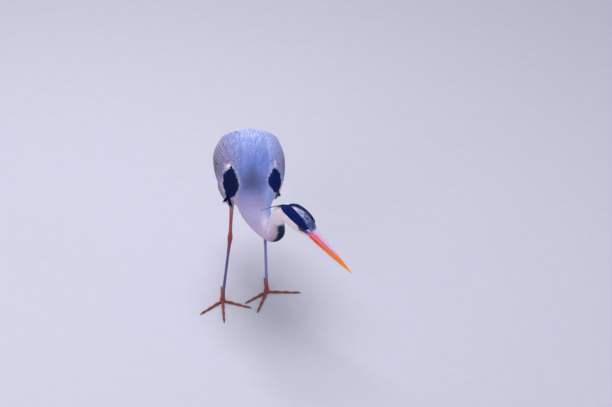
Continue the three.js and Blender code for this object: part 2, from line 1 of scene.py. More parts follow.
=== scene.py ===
# %% [markdown]
# # A grey heron, feather by feather
# A heron is a small, slim body under a deep coat of feathers. The solids that are loaded here give
# its true shape and size. This lesson lays one soft skin over the flesh and then grows the plumage
# on it: short feathers on the head, longer ones on the neck and body, and the big vanes of the
# wings and tail one by one.

import math

import bpy
import numpy as np
from mathutils import Matrix, Vector
from mathutils.bvhtree import BVHTree
from mathutils.kdtree import KDTree


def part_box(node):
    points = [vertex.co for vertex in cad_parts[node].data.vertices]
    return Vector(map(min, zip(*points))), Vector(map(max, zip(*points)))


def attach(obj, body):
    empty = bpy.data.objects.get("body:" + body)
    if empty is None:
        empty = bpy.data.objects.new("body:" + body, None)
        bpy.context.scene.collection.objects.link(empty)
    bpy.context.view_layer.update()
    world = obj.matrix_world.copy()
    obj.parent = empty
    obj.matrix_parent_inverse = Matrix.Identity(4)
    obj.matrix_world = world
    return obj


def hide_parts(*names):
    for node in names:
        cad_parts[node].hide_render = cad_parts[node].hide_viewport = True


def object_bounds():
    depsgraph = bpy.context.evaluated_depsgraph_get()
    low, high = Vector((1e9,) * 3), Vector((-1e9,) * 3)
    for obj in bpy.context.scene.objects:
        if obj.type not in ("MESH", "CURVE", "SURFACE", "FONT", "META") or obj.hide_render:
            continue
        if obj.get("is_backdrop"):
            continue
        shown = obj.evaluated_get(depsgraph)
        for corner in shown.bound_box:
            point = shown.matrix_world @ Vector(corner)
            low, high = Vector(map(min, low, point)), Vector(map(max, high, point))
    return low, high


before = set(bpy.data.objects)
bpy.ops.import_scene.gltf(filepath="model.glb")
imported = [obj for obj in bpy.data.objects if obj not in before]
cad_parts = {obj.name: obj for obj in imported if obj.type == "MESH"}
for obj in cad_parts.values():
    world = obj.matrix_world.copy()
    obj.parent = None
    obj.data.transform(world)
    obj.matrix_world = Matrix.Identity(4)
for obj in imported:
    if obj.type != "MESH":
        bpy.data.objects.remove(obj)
CAD_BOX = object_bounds()
MM = 0.001
SIDES = {"left": 1, "right": -1}
chance = np.random.default_rng(11)
print("nodes:", len(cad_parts), "box:", [round(v, 4) for corner in CAD_BOX for v in corner])

# %% [markdown]
# ## Small tools
# Operators act on everything that is selected, so each step starts by deselecting all. Points are
# handled as arrays: that keeps the making of thousands of feathers fast.

# %% Small tools
def alone(piece):
    """Makes a piece the only selected and the active one."""
    bpy.ops.object.select_all(action="DESELECT")
    piece.select_set(True)
    bpy.context.view_layer.objects.active = piece
    return piece


def coordinates(piece):
    """The places of a piece's vertices."""
    out = np.empty(len(piece.data.vertices) * 3, np.float32)
    piece.data.vertices.foreach_get("co", out)
    return out.reshape(-1, 3).astype(float)


def set_coordinates(piece, points):
    """Moves a piece's vertices to new places."""
    piece.data.vertices.foreach_set("co", np.asarray(points, np.float32).ravel())
    piece.data.update()


def apply_modifier(piece, kind, **settings):
    """Adds a modifier with its settings and applies it."""
    alone(piece)
    modifier = piece.modifiers.new(kind.title(), kind)
    for name, value in settings.items():
        setattr(modifier, name, value)
    bpy.ops.object.modifier_apply(modifier=modifier.name)


def finished(piece, name, material, slot, *nodes):
    """Names a piece, dresses it, and lets it ride on the body in place of some solids."""
    piece.name = piece.data.name = name
    piece.data.materials.clear()
    piece.data.materials.append(material)
    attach(piece, "root")
    if nodes:
        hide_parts(*nodes)
    print(name, "faces:", len(piece.data.polygons))
    return piece


def unit(vectors):
    """Vectors drawn out or in to a length of one."""
    return vectors / np.maximum(np.linalg.norm(vectors, axis=-1, keepdims=True), 1e-12)


def blend(a, b, share):
    """Goes from a to b as share goes from 0 to 1."""
    return a + (b - a) * np.asarray(share)[..., None]


def laid(colour, *layers):
    """Lays tones over a colour, one after the other, each with its share."""
    for tone, share in layers:
        colour = blend(colour, tone, share)
    return colour


def ease(low, high, value):
    """Rises smoothly from 0 at low to 1 at high."""
    share = np.clip((np.asarray(value, float) - low) / (high - low), 0, 1)
    return share * share * (3 - 2 * share)


def read(table, place):
    """Reads a table of (place, value) pairs, where a value is a number or a colour."""
    places, values = zip(*table)
    if np.ndim(values) == 1:
        return np.interp(place, places, values)
    return np.stack([np.interp(place, places, channel) for channel in np.transpose(values)], -1)


def shade(code):
    """A colour code as the linear colour that materials work in."""
    display = np.array([int(code[i : i + 2], 16) / 255 for i in (1, 3, 5)])
    return np.where(display <= 0.04045, display / 12.92, ((display + 0.055) / 1.055) ** 2.4)

# %% [markdown]
# ## The camera
# The heron is seen from in front, from a little above, through a long lens. A camera could be
# aimed with a constraint, but here it is placed by its three axes: they also tell where any
# feather shows in the view. The camera looks at a point beside the bird, and is rolled a little.

# %% The camera
PICTURE = (612, 407)
LOOK_AT = Vector((0.10705, 0.11993, 0.1858))
AZIMUTH, ELEVATION, ROLL = math.radians(-9), math.radians(30), math.radians(3.2)
DISTANCE = 8.0
METRES_PER_PIXEL = 0.0023

level = Vector((math.cos(AZIMUTH), math.sin(AZIMUTH), 0))
ahead = Vector((-math.sin(AZIMUTH), math.cos(AZIMUTH), 0))
upright = ahead * math.sin(ELEVATION) + Vector((0, 0, math.cos(ELEVATION)))
backward = -ahead * math.cos(ELEVATION) + Vector((0, 0, math.sin(ELEVATION)))
rolled = level * math.cos(ROLL) + upright * math.sin(ROLL)
up_in_view = upright * math.cos(ROLL) - level * math.sin(ROLL)
bpy.ops.object.camera_add()
camera = bpy.context.object
turn = Matrix((rolled, up_in_view, backward)).transposed().to_4x4()
camera.matrix_world = Matrix.Translation(LOOK_AT + backward * DISTANCE) @ turn
camera.data.sensor_width = 36
camera.data.lens = camera.data.sensor_width * DISTANCE / (PICTURE[0] * METRES_PER_PIXEL)
camera.data.clip_end = 60
bpy.context.scene.camera = camera
print("lens:", round(camera.data.lens, 1), "mm")

# %% [markdown]
# ## The bird's own shape as formulas
# The trunk, neck and head are smooth tubes whose size changes along them. Written as formulas of a
# place along the tube and an angle round it, they say where each feather roots and which way it
# lies. The sizes are in millimetres, and a formula's result is shifted to where the solids stand,
# which is measured at the left eye.

# %% Smooth curves
class Curve:
    """A smooth curve through points, at shares from 0 to 1."""

    def __init__(self, points):
        p = np.array(points, float)
        self.points = np.vstack([2 * p[0] - p[1], p, 2 * p[-1] - p[-2]])

    def __call__(self, share):
        place = np.clip(np.asarray(share, float), 0, 1) * (len(self.points) - 3)
        first = np.minimum(place.astype(int), len(self.points) - 4)
        w = (place - first)[..., None]
        p0, p1, p2, p3 = (self.points[first + k] for k in range(4))
        d0, d1, d2 = (
            np.maximum(np.linalg.norm(b - a, axis=-1, keepdims=True), 1e-4) ** 0.5
            for a, b in ((p0, p1), (p1, p2), (p2, p3))
        )
        start = ((p1 - p0) / d0 - (p2 - p0) / (d0 + d1) + (p2 - p1) / d1) * d1
        end = ((p2 - p1) / d1 - (p3 - p1) / (d1 + d2) + (p3 - p2) / d2) * d1
        return (
            p1 + start * w
            + (3 * (p2 - p1) - 2 * start - end) * w**2
            + (2 * (p1 - p2) + start + end) * w**3
        )

    def way(self, share):
        tiny = 1e-4
        return unit(self(np.asarray(share) + tiny) - self(np.asarray(share) - tiny))

# %% The trunk
# Stations from breast to tail tip: y and z of the back, y and z of the belly, and half the width.
TRUNK = [
    (-82, 331, -100, 286, 24), (-64, 357, -88, 263, 43), (-27, 387, -50, 249, 58),
    (25, 400, 0, 243, 66), (80, 386, 55, 240, 66), (130, 353, 105, 237, 58),
    (178, 313, 152, 235, 44), (212, 281, 196, 238, 28), (243, 256, 236, 230, 25),
    (273, 235, 269, 221, 21),
]
LAST = len(TRUNK) - 1
LEAN, HIPS = 0.07, 295
BACK = Curve([(half, y, z) for y, z, _, _, half in TRUNK])
BELLY = Curve([(half, y, z) for _, _, y, z, half in TRUNK])


def trunk_section(station):
    """The middle of the trunk, the way its back faces, and half its width and height."""
    back, belly = BACK(np.asarray(station) / LAST), BELLY(np.asarray(station) / LAST)
    half = back[..., 0].copy()
    back[..., 0] = belly[..., 0] = 0
    up = back - belly
    high = np.linalg.norm(up, axis=-1) / 2
    return (back + belly) / 2, unit(up), half, high


def lean(points):
    """Leans points over to the left, the higher they lie the more."""
    points[..., 0] += LEAN * (points[..., 2] - HIPS)
    return points


def trunk(station, degrees, rise=0.0):
    """The trunk's outside at a station, at an angle from the back, raised off it."""
    centre, up, half, high = trunk_section(station)
    a = np.radians(degrees)
    out = up * ((high + rise) * np.cos(a))[..., None]
    out[..., 0] += (half + rise) * np.sin(a)
    return lean(centre + out)


print("trunk from", TRUNK[0][:2], "to", TRUNK[-1][:2])

# %% The neck
# From breast to nape: the centre, the way its back faces, and half its width and depth.
NECK = [
    ((0, -74, 308), (0, 0.4, 1), 50, 40), ((-1, -96, 299), (0, -0.5, 1), 42.5, 36),
    ((3, -116, 283), (-0.1, -0.6, 1), 33.5, 29.5), ((15, -134, 265), (-0.4, -0.3, 1), 26, 25.5),
    ((34, -151, 251), (-0.7, 0.3, 0.9), 21.5, 22), ((42, -167, 262), (-0.8, 0.8, 0.5), 18.5, 19.5),
    ((40, -184, 287), (-0.8, 1, 0.3), 17.5, 18.5), ((37, -205, 314), (-0.8, 1, 0.3), 17, 18),
    ((37, -225, 339), (-0.9, 0.9, 0.4), 17.5, 18.5), ((43, -239, 358), (-0.9, 0.6, 0.6), 18, 19),
    ((56, -250, 364), (-0.4, -0.2, 1), 19, 19),
]
NECK_LINE = Curve([centre for centre, _, _, _ in NECK])
NECK_BACK = Curve([back for _, back, _, _ in NECK])
NECK_SIZE = Curve([(half, deep, 0) for _, _, half, deep in NECK])


def neck(place, degrees, rise=0.0):
    """The neck's outside at a share of its length, at an angle from its back, raised off it."""
    way = NECK_LINE.way(place)
    side = unit(np.cross(NECK_BACK(place), way))
    top = np.cross(way, side)
    size = NECK_SIZE(place)
    a = np.radians(degrees)
    out = side * ((size[..., 0] + rise) * np.sin(a))[..., None]
    return NECK_LINE(place) + out + top * ((size[..., 1] + rise) * np.cos(a))[..., None]

SLOPE = (0.06, 1.25)  # where the slope starts on the neck, and the station where it ends


def shoulders(place, degrees, rise=0.0):
    """The smooth slope that fills the notch between the foot of the neck and the trunk."""
    share = np.asarray(place)[..., None]
    front, rear = (np.full(np.shape(place), end) for end in SLOPE)
    return neck(front, degrees, rise) * (1 - share) + trunk(rear, degrees, rise) * share

# %% The head
# Along the bill's axis from the eyes: x, heights of crown and chin, and half the width.
HEAD = [
    (-66, -3, -20, 9), (-57, 10, -32, 17), (-42, 18.5, -35, 21), (-24, 23, -33.5, 22.5),
    (-6, 23.5, -28.5, 21.5), (8, 20.5, -23.5, 18.5), (18, 16, -19.5, 14.8), (26, 12, -16.6, 11.5),
]
HEAD_LONG = 92
HEAD_ROUND = 0.4  # millimetres for one degree round the head
BROW_AT = np.array([88.5, -275, 344])
BILL_WAY = unit(np.array([0.682, -0.447, -0.579]))
HEAD_SIDE = unit(np.cross([0.383, -0.457, 0.803], BILL_WAY))
HEAD_UP = np.cross(BILL_WAY, HEAD_SIDE)
HEAD_AXES = np.array([BILL_WAY, HEAD_SIDE, HEAD_UP])
HEAD_LINE = Curve([(half, crown, chin) for _, crown, chin, half in HEAD])
HEAD_X = Curve([(x, 0, 0) for x, _, _, _ in HEAD])
EYE = {"radius": 8, "out": 14.4, "up": 1.5}


def from_head(points):
    """Takes points from the head's own axes, bill, left side and crown, to the bird's."""
    return BROW_AT + points @ HEAD_AXES


def to_head(points):
    """Takes points from the bird's axes to the head's own."""
    return (points - BROW_AT) @ HEAD_AXES.T


def head(place, degrees, rise=0.0):
    """The head's outside at a share of its length, at an angle from the crown, raised off it."""
    half, crown, chin = np.moveaxis(HEAD_LINE(place), -1, 0)
    a = np.radians(degrees)
    up = (crown + chin) / 2 + ((crown - chin) / 2 + rise) * np.cos(a)
    return from_head(np.stack([HEAD_X(place)[..., 0], (half + rise) * np.sin(a), up], -1))


eye_lowest, eye_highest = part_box("eye_left")
eye_middle = from_head(np.array([0, EYE["out"], EYE["up"]], float)) * MM
SHIFT = (np.array(eye_lowest) + np.array(eye_highest)) / 2 - eye_middle
SHIFT[2] = 0
print("shift:", SHIFT.round(5))


def settled(points):
    """Points in millimetres, in metres where the solids stand."""
    return np.asarray(points) * MM + SHIFT


def unsettled(points):
    """Points in metres where the solids stand, back in millimetres."""
    return (points - SHIFT) / MM

# %% Wings, tail and thighs
# By station: the angles of a folded wing's upper and lower edge, and its thickness.
WING_TOP = [(0.85, 62), (1.5, 40), (2.5, 29), (4, 25), (6, 28), (7.3, 36), (8.75, 52)]
WING_FOOT = [(0.85, 98), (1.5, 122), (2.5, 128), (4, 121), (6, 106), (7.3, 92), (8.75, 76)]
WING_THICK = [(0.85, 4), (1.5, 7.5), (3, 9.5), (5, 8), (7, 4.5), (8.75, 1.3)]
WING_LIFT = 1.2
TRUNK_ALONG, TRUNK_ROUND = 46, 1.05  # millimetres for one station, and for one degree round it
TAIL_DROP = 3
# Where each leg bends. Shin is the place where the bare leg leaves the thigh's feathers.
LEGS = {
    "right": {
        "foot": (-54.5, -33), "hock": (-40, -8, 154), "shin": (-38, 5, 231), "knee": (-50, 32, 292),
    },
    "left": {
        "foot": (51, 0), "hock": (43, 18, 155), "shin": (47, 27, 231), "knee": (50, 42, 292),
    },
}
THIGH_SIZE = [(0, 25), (0.35, 25), (0.6, 20), (0.82, 13), (1, 7.4), (1.06, 5.6)]


def wing_rise(station, degrees):
    """How far a folded wing stands off the trunk."""
    top, foot = read(WING_TOP, station), read(WING_FOOT, station)
    share = np.clip((degrees - top) / (foot - top), 0, 1)
    return WING_LIFT + read(WING_THICK, station) * np.sin(np.pi * share) ** 0.8


def wing(side):
    """The outside of the wing on one side, as a surface."""
    return lambda s, degrees, rise=0.0: trunk(
        s, side * np.asarray(degrees), wing_rise(s, degrees) + rise
    )


def tail(station, out, rise=0.0):
    """A point of the tail at a station, out from its middle and up from it."""
    centre, up, _, _ = trunk_section(station)
    centre[..., 0] += out
    return lean(centre + up * (np.asarray(rise) - TAIL_DROP)[..., None])


def thigh(name):
    """The feathered thigh's outside, from knee to bare shin, as a surface."""
    knee, shin = (np.array(LEGS[name][joint], float) for joint in ("knee", "shin"))
    way = unit(shin - knee)
    side = unit(np.cross(way, [0, 1, 0]))
    front = np.cross(side, way)

    def surface(place, degrees, rise=0.0):
        a = np.radians(degrees)
        size = read(THIGH_SIZE, place) + rise
        round_it = side * np.sin(a)[..., None] + front * np.cos(a)[..., None]
        return knee + (shin - knee) * np.asarray(place)[..., None] + round_it * size[..., None]

    return surface

# %% [markdown]
# ## The colours of the plumage
# A grey heron is blue-grey above and white below, with a black band over each eye that runs into
# the crest, black patches at the bends of its wings and rows of black streaks down the foreneck.
# Each colour is a function of the place on the body, so the skin and the coat share their markings.

# %% Colours of the plumage
MANTLE, PALE, SIDE = shade("#657cc6"), shade("#c3cbea"), shade("#706a99")
FLANK, NAPE, LILAC = shade("#c4a9c2"), shade("#8484bd"), shade("#c9bfdc")
# The hollow's dark tone here is painted shade.
WHITE, BLACK, HOLLOW_SHADE = shade("#e8dde6"), shade("#081444"), shade("#2e3168")
SLATE, LORES, CROWN = shade("#39314f"), shade("#4c5590"), shade("#c2c8f2")
UNDERSIDE, PINK, NAVY = shade("#ddd7e2"), shade("#ff62a0"), shade("#0d1f60")
# The light blue of the left side here is painted sky light.
CREAM, LEFT_SKY_LIGHT, DUSK = shade("#f2e8d6"), shade("#9dadec"), shade("#5a4e78")
# The dark mauve of the low flanks here is painted shade.
INK, FLANK_SHADE, FOREHEAD = shade("#1f1838"), shade("#7c5c74"), shade("#6c7ed0")
SNOW, FLANK_BACK, THIGH_TONE = shade("#fbf4f6"), shade("#b4b3cc"), shade("#97859e")


def seen(points):
    """Where points show to a viewer in front: millimetres right of and above the middle."""
    off = settled(points) - np.array(LOOK_AT + backward * DISTANCE)
    nearer = DISTANCE / -(off @ np.array(backward))
    across, up = (off @ np.array(axis) for axis in (rolled, up_in_view))
    return np.stack([across, up], -1) * nearer[..., None] / MM


def inside(outline, spots):
    """How far spots lie inside a closed outline, in millimetres; outside it is negative."""
    a = np.array(outline, float)
    edge = np.roll(a, -1, axis=0) - a
    p = np.asarray(spots)[..., None, :]
    t = np.clip(((p - a) * edge).sum(-1) / (edge**2).sum(-1), 0, 1)
    near = np.linalg.norm(p - a - edge * t[..., None], axis=-1).min(-1)
    spans = (a[:, 1] > p[..., 1]) != (a[:, 1] + edge[:, 1] > p[..., 1])
    crossed = p[..., 0] < a[:, 0] + edge[:, 0] * (p[..., 1] - a[:, 1]) / (edge[:, 1] + 1e-9)
    return np.where((spans & crossed).sum(-1) % 2 == 1, near, -near)


def around(spots, centre, radii):
    """A soft round mark: 1 at its centre, fading outwards."""
    return np.exp(-(((spots - np.array(centre)) / np.array(radii)) ** 2).sum(-1))


def turned(degrees):
    """An angle round a part from its back or crown: above 0 on the left, below 0 on the right."""
    return (np.asarray(degrees, float) + 180) % 360 - 180


def from_top(degrees):
    """The angle from the back or crown, whichever way round."""
    return np.abs(turned(degrees))

# %% The outlines of the black marks
# The black band over each eye: share of the head, and degrees of its upper and its lower edge.
# The crown's feathers are combed over a little, so the two sides differ.
CREST_BAND = {
    "right": [
        (0.0, 16, 52), (0.1, 18, 63), (0.2, 21, 65), (0.3, 22, 68), (0.37, 26, 69), (0.46, 32, 72),
        (0.56, 38, 74), (0.64, 44, 70), (0.72, 50, 64), (0.8, 54, 58),
    ],
    "left": [
        (0.16, -22, -8), (0.23, -12, 2), (0.32, 4, 22), (0.39, 13, 44), (0.47, 16, 64),
        (0.56, 18, 72), (0.64, 21, 70), (0.72, 30, 64), (0.8, 45, 58),
    ],
}
# Outlines as they show from in front, in millimetres: the black patch at the bend of each wing,
# and the black blot on the front of the neck, which runs on round the neck's far side.
BEND_PATCH = {
    "right": [
        (-171, 85), (-167, 78), (-163, 71), (-160, 64), (-159.5, 57), (-158.5, 50), (-156, 42),
        (-156, 32), (-159, 25), (-165, 18.5), (-172, 15), (-178, 11), (-182, 6), (-187, 3),
        (-189, 7), (-185, 13), (-184, 18), (-186, 25), (-186, 32), (-190, 39), (-191, 47),
        (-189, 56), (-190, 63), (-186, 70), (-180, 78), (-175, 82),
    ],
    "left": [
        (-71.4, 84), (-66.7, 77), (-62, 71), (-59.3, 60), (-58.4, 48), (-59.7, 37), (-64.3, 31.5),
        (-70.4, 25), (-74, 28.5), (-79, 31), (-82.8, 39), (-85, 49.5), (-83.4, 62), (-79, 73),
    ],
}
BLOT = [
    (-63, -48), (-30, -48), (-30, -112), (-84, -112), (-78, -88), (-70, -78), (-65.5, -67),
    (-67, -58),
]
PATCH_RIM, BLOT_RIM = (0.4, 2.0), (-4.5, 4.5)  # over what depth the black sets in, in millimetres
# The last station that each patch reaches. Then where the white tuft above it shows: its middle,
# and how far it reaches sideways and up, in millimetres.
PATCH_END = {"right": 2.15, "left": 1.7}
WHITE_TUFT = {"right": ((-177.5, 86), (4.2, 3.6)), "left": ((-70.6, 92), (1.3, 8.5))}
# The middle of the painted shade in the hollow between the patches, and its reach.
HOLLOW_SHADE_AT, HOLLOW_SHADE_SIZE = (-127, 44), {"aside": 34, "up": 34, "down": 22}
# The colours down the neck, by height as it shows from in front.
# The darker tones towards the top are painted shade near the hollow.
NECK_TONES = [
    (-67, shade("#c4b1cf")), (-27, shade("#aeaad4")), (3, shade("#8c86b8")),
    (18, shade("#7272a4")), (31, shade("#686c9f")),
]
print("corners of the outlines:", [len(outline) for outline in (*BEND_PATCH.values(), BLOT)])

# %% Marks that are drawn as they show from in front
def patch_depth(spots):
    """How far inside the nearer black patch spots are that show from in front."""
    return np.maximum(*(inside(outline, spots) for outline in BEND_PATCH.values()))


def in_patch(spots):
    """1 inside the black patches, and 0 outside them."""
    return ease(*PATCH_RIM, patch_depth(spots))


def at_bend(side, s):
    """Whether a station lies by the patch of the side, right or left of the middle."""
    end = np.where(side > 0, PATCH_END["left"], PATCH_END["right"])
    return 1 - ease(end - 0.08, end + 0.08, s)


def breast_shade_and_marks(colour, points, share, patches=1.0):
    """Painted shade in the hollow by the neck's foot, and the black patches on each side of it."""
    spots = seen(points)
    # Painted shade in the hollow where the neck meets the trunk, reaching up between the patches.
    off = spots - np.array(HOLLOW_SHADE_AT)
    tall = np.where(off[..., 1] > 0, HOLLOW_SHADE_SIZE["up"], HOLLOW_SHADE_SIZE["down"])
    from_hollow = np.hypot(off[..., 0] / HOLLOW_SHADE_SIZE["aside"], off[..., 1] / tall)
    hollow = 0.92 * (1 - ease(0.1, 1.6, from_hollow)) + 0.4 * around(spots, (-123, 84), (12, 22))
    depth = patch_depth(spots)
    return laid(
        colour,
        (HOLLOW_SHADE, np.clip(hollow, 0, 0.93) * share),
        (LILAC, 0.4 * np.exp(-(((depth + 3) / 3) ** 2)) * share * patches),
        (BLACK, ease(*PATCH_RIM, depth) * share * patches),
    )


def down_the_neck(colour, points, degrees):
    """Pales from the hollow's painted shade down the neck, with painted sky light on the left."""
    spots = seen(points)
    tone = laid(
        read(NECK_TONES, spots[..., 1]),
        (FLANK, 0.7 * ease(50, 95, from_top(degrees))),
        # Painted sky light: the upper neck is bluer on its left side.
        (LEFT_SKY_LIGHT, 0.75 * ease(15, 45, turned(degrees)) * ease(-45, -20, spots[..., 1])),
        # A painted highlight: a pale spot near the fold of the neck.
        (SNOW, 0.5 * around(spots, (-92, -46), (8, 15))),
    )
    return blend(colour, tone, 1 - ease(24, 44, spots[..., 1]))

# %% The colours of the trunk, wings and neck
def body_colour(s, a):
    """The plumage of the back and sides, before any patch."""
    return laid(
        MANTLE,
        (PALE, 0.3 * ease(2.0, 3.4, s) * (1 - ease(14, 40, a))),
        (SIDE, ease(18, 60, a) * ease(1.2, 2.0, s)),
    )


def shoulder_colour(place, degrees):
    """The slope between neck and trunk."""
    a, points = from_top(degrees), shoulders(place, degrees)
    colour = down_the_neck(blend(MANTLE, FLANK, ease(50, 95, a)), points, degrees)
    colour = blend(colour, UNDERSIDE, ease(138, 158, a))
    return breast_shade_and_marks(colour, points, 1 - ease(105, 120, a))


def trunk_colour(s, degrees):
    """Blue-grey above, pink-grey on the flanks, and a white belly with a black stripe each side."""
    a = from_top(degrees)
    stripe = ease(124, 127, a) * (1 - ease(140, 144, a)) * ease(2.0, 2.4, s) * (1 - ease(5, 6, s))
    colour = laid(
        body_colour(s, a),
        (FLANK, ease(92, 118, a)),
        (FLANK, (1 - ease(0.6, 1.2, s)) * ease(50, 95, a)),
        # Painted shade low on the front of the flanks.
        (FLANK_SHADE, 0.85 * ease(100, 125, a) * (1 - ease(1.8, 2.8, s))),
        (FLANK_BACK, 0.8 * ease(92, 118, a) * ease(2, 3.4, s)),
        (UNDERSIDE, ease(138, 158, a)),
        (BLACK, stripe),
    )
    share = (1 - ease(115, 128, a)) * (1 - ease(2.0, 2.4, s))
    return breast_shade_and_marks(colour, trunk(s, degrees), share, at_bend(turned(degrees), s))


def wing_colour(name, s, degrees):
    """As the back, with a dusky band, an inky lower edge over the pale flank, and painted shade."""
    points, front = wing(SIDES[name])(s, degrees), 1 - ease(1.8, 2.8, s)
    dusk = ease(58, 72, degrees) * (1 - ease(86, 96, degrees)) * ease(1.85, 2.2, s)
    edge = ease(75, 82, degrees) * (1 - ease(94, 104, degrees)) * ease(2.72, 2.95, s)
    centre = WHITE_TUFT["right"][0]
    below_tuft = around(seen(points), (centre[0] - 3, centre[1] - 4), (7, 6)) * (name == "right")
    colour = laid(
        body_colour(s, degrees),
        # Painted sky light makes the left wing bluer.
        (LEFT_SKY_LIGHT, 0.35 * (name == "left")),
        (DUSK, 0.65 * dusk),
        (FLANK, ease(84, 98, degrees) * front),
        # Painted shade low on the front of the wing.
        (FLANK_SHADE, 0.85 * ease(98, 120, degrees) * front),
        (SLATE, 0.8 * ease(72, 84, degrees) * ease(2.6, 3.0, s)),
        (INK, 0.8 * edge * (1 - ease(4.2, 5, s))),
        (LILAC, 0.8 * below_tuft),
    )
    return breast_shade_and_marks(colour, points, 1 - ease(2.2, 2.4, s), at_bend(SIDES[name], s))


def neck_colour(place, degrees):
    """White up to the head, with the black blot in front and the right band's end behind."""
    a, points = from_top(degrees), neck(place, degrees)
    depth, right = inside(BLOT, seen(points)), -turned(degrees)
    on_front = ease(75, 95, a) * ease(0.25, 0.35, place) * (1 - ease(0.73, 0.78, place))
    low = read([(0.9, 25), (0.95, 35), (1, 50)], place)
    stripe = ease(13, 16, right) * (1 - ease(low - 2, low + 2, right))
    colour = laid(
        down_the_neck(MANTLE + np.zeros((*a.shape, 3)), points, degrees),
        (WHITE, 0.8 * ease(0.5, 0.7, place)),
        (WHITE, ease(100, 150, a)),
        # Painted shade in a darker rim round the blot, towards the bend of the neck.
        (FLANK_SHADE, 0.4 * ease(-22, -3, depth) * on_front),
        (BLACK, 0.985 * ease(*BLOT_RIM, depth) * on_front),
        (NAVY, ease(0.9, 0.93, place) * stripe),
    )
    share = (1 - ease(0.15, 0.2, place)) * (1 - ease(105, 120, a))
    return breast_shade_and_marks(colour, points, share, 0.0)

# %% The colours of the head
def band_edges(name):
    """The upper and the lower edge of the band on one side, as tables."""
    return [[(row[0], row[column]) for row in CREST_BAND[name]] for column in (1, 2)]


def in_band(place, degrees):
    """How far inside either band of the crest a place on the head is, in degrees."""
    depths = []
    for name, side in SIDES.items():
        upper, lower = (read(edge, place) for edge in band_edges(name))
        out = side * turned(degrees)
        depths.append(np.minimum(out - upper, lower - out))
    depths[0] = np.where(place < CREST_BAND["left"][0][0], -9, depths[0])  # the left one is shorter
    return np.maximum(*depths)


def between_bands(place, degrees):
    """How far a place on the crown is from the nearer band of the crest, in degrees."""
    right, left = (read(band_edges(name)[0], place) for name in ("right", "left"))
    return np.minimum(turned(degrees) + right, left - turned(degrees))


def head_colour(place, degrees):
    """White, with the crown, the bands, a dark patch before the eye and a pink bill base."""
    a, place = from_top(degrees), np.asarray(place)
    return laid(
        WHITE,
        (CROWN, ease(-4, 2, between_bands(place, degrees)) * ease(0.2, 0.35, place)),
        (FOREHEAD, 0.7 * ease(0.5, 0.7, place) * (1 - ease(50, 58, a))),
        (WHITE, 0.6 * ease(0.9, 0.97, place) * (1 - ease(40, 56, a))),
        (NAVY, ease(-1.5, 1.5, in_band(place, degrees)) * (place < 0.8)),
        (LORES, ease(0.66, 0.7, place) * ease(64, 69, a) * (1 - ease(92, 99, a))),
        (WHITE, ease(0.6, 0.64, place) * ease(56, 59, a) * (1 - ease(64, 67, a))),
        (CREAM, ease(0.5, 0.7, place) * ease(100, 112, a)),
        (PINK, ease(0.84, 0.88, place) * ease(54, 60, a) * (1 - ease(96, 106, a))),
    )

# %% [markdown]
# ## Materials
# Plumage is matt, with a soft sheen. Each vane has a shaft and fine barbs that run out from it at
# a slant. They could be modelled, but a node group draws them on every feather from its own map at
# no cost in faces, and the tint that was painted on the feather passes through it. A second group
# draws the fine grain of skin, horn and eyes, each with values of its own.

# %% The node group for feathers
def add_node(tree, kind, links=(), **values):
    """Adds a node, sets its values, and links or sets its inputs by number or name."""
    node = tree.nodes.new(kind)
    for name, value in values.items():
        setattr(node, name, value)
    for key, source in dict(links).items():
        if isinstance(source, bpy.types.NodeSocket):
            tree.links.new(source, node.inputs[key])
        else:
            node.inputs[key].default_value = source
    return node


def math_node(tree, operation, *sources, clamp=False):
    """The result of a sum on numbers or sockets."""
    return add_node(
        tree, "ShaderNodeMath", dict(enumerate(sources)), operation=operation, use_clamp=clamp
    ).outputs[0]


def object_noise(tree, scale, detail=3.0):
    """Noise in the piece's own space, which is the same from every side."""
    place = add_node(tree, "ShaderNodeTexCoord").outputs["Object"]
    return add_node(
        tree, "ShaderNodeTexNoise", {"Vector": place, "Scale": scale, "Detail": detail}
    ).outputs[0]


def scaled_colour(tree, colour, amount):
    """A colour made brighter or darker."""
    return add_node(
        tree, "ShaderNodeVectorMath", {0: colour, 3: amount}, operation="SCALE"
    ).outputs[0]


def new_group(name, inputs, outputs):
    """An empty node group with named sockets: (kind, default) for each input."""
    group = bpy.data.node_groups.new(name, "ShaderNodeTree")
    for label, (kind, default) in inputs.items():
        socket = group.interface.new_socket(label, in_out="INPUT", socket_type=kind)
        socket.default_value = default
    for label, kind in outputs.items():
        group.interface.new_socket(label, in_out="OUTPUT", socket_type=kind)
    source, sink = group.nodes.new("NodeGroupInput"), group.nodes.new("NodeGroupOutput")
    return group, source.outputs, sink.inputs


group, given, result = new_group(
    "Vane",
    {
        "Tint": ("NodeSocketColor", (1, 1, 1, 1)), "Barbs": ("NodeSocketFloat", 90.0),
        "Contrast": ("NodeSocketFloat", 0.2), "Edge": ("NodeSocketFloat", 0.2),
    },
    {"Colour": "NodeSocketColor", "Height": "NodeSocketFloat"},
)
vane_map = add_node(group, "ShaderNodeUVMap", uv_map="Vane")
split = add_node(group, "ShaderNodeSeparateXYZ", {0: vane_map.outputs[0]})
off_shaft = math_node(group, "ABSOLUTE", math_node(group, "SUBTRACT", split.outputs[0], 0.5))
slant = math_node(
    group, "SUBTRACT", split.outputs[1], math_node(group, "MULTIPLY", off_shaft, 0.5)
)
barb = math_node(group, "SINE", math_node(group, "MULTIPLY", slant, given["Barbs"]))
rough_barb = math_node(
    group, "ADD", math_node(group, "MULTIPLY", barb, 0.5), object_noise(group, 420.0)
)
change = math_node(
    group, "MULTIPLY", math_node(group, "SUBTRACT", rough_barb, 0.5), given["Contrast"]
)
near_edge = math_node(
    group, "POWER", math_node(group, "MULTIPLY", off_shaft, 2.0, clamp=True), 3.0
)
near_tip = math_node(group, "POWER", split.outputs[1], 8.0)
rim = math_node(
    group, "MULTIPLY", math_node(group, "MAXIMUM", near_edge, near_tip), given["Edge"]
)
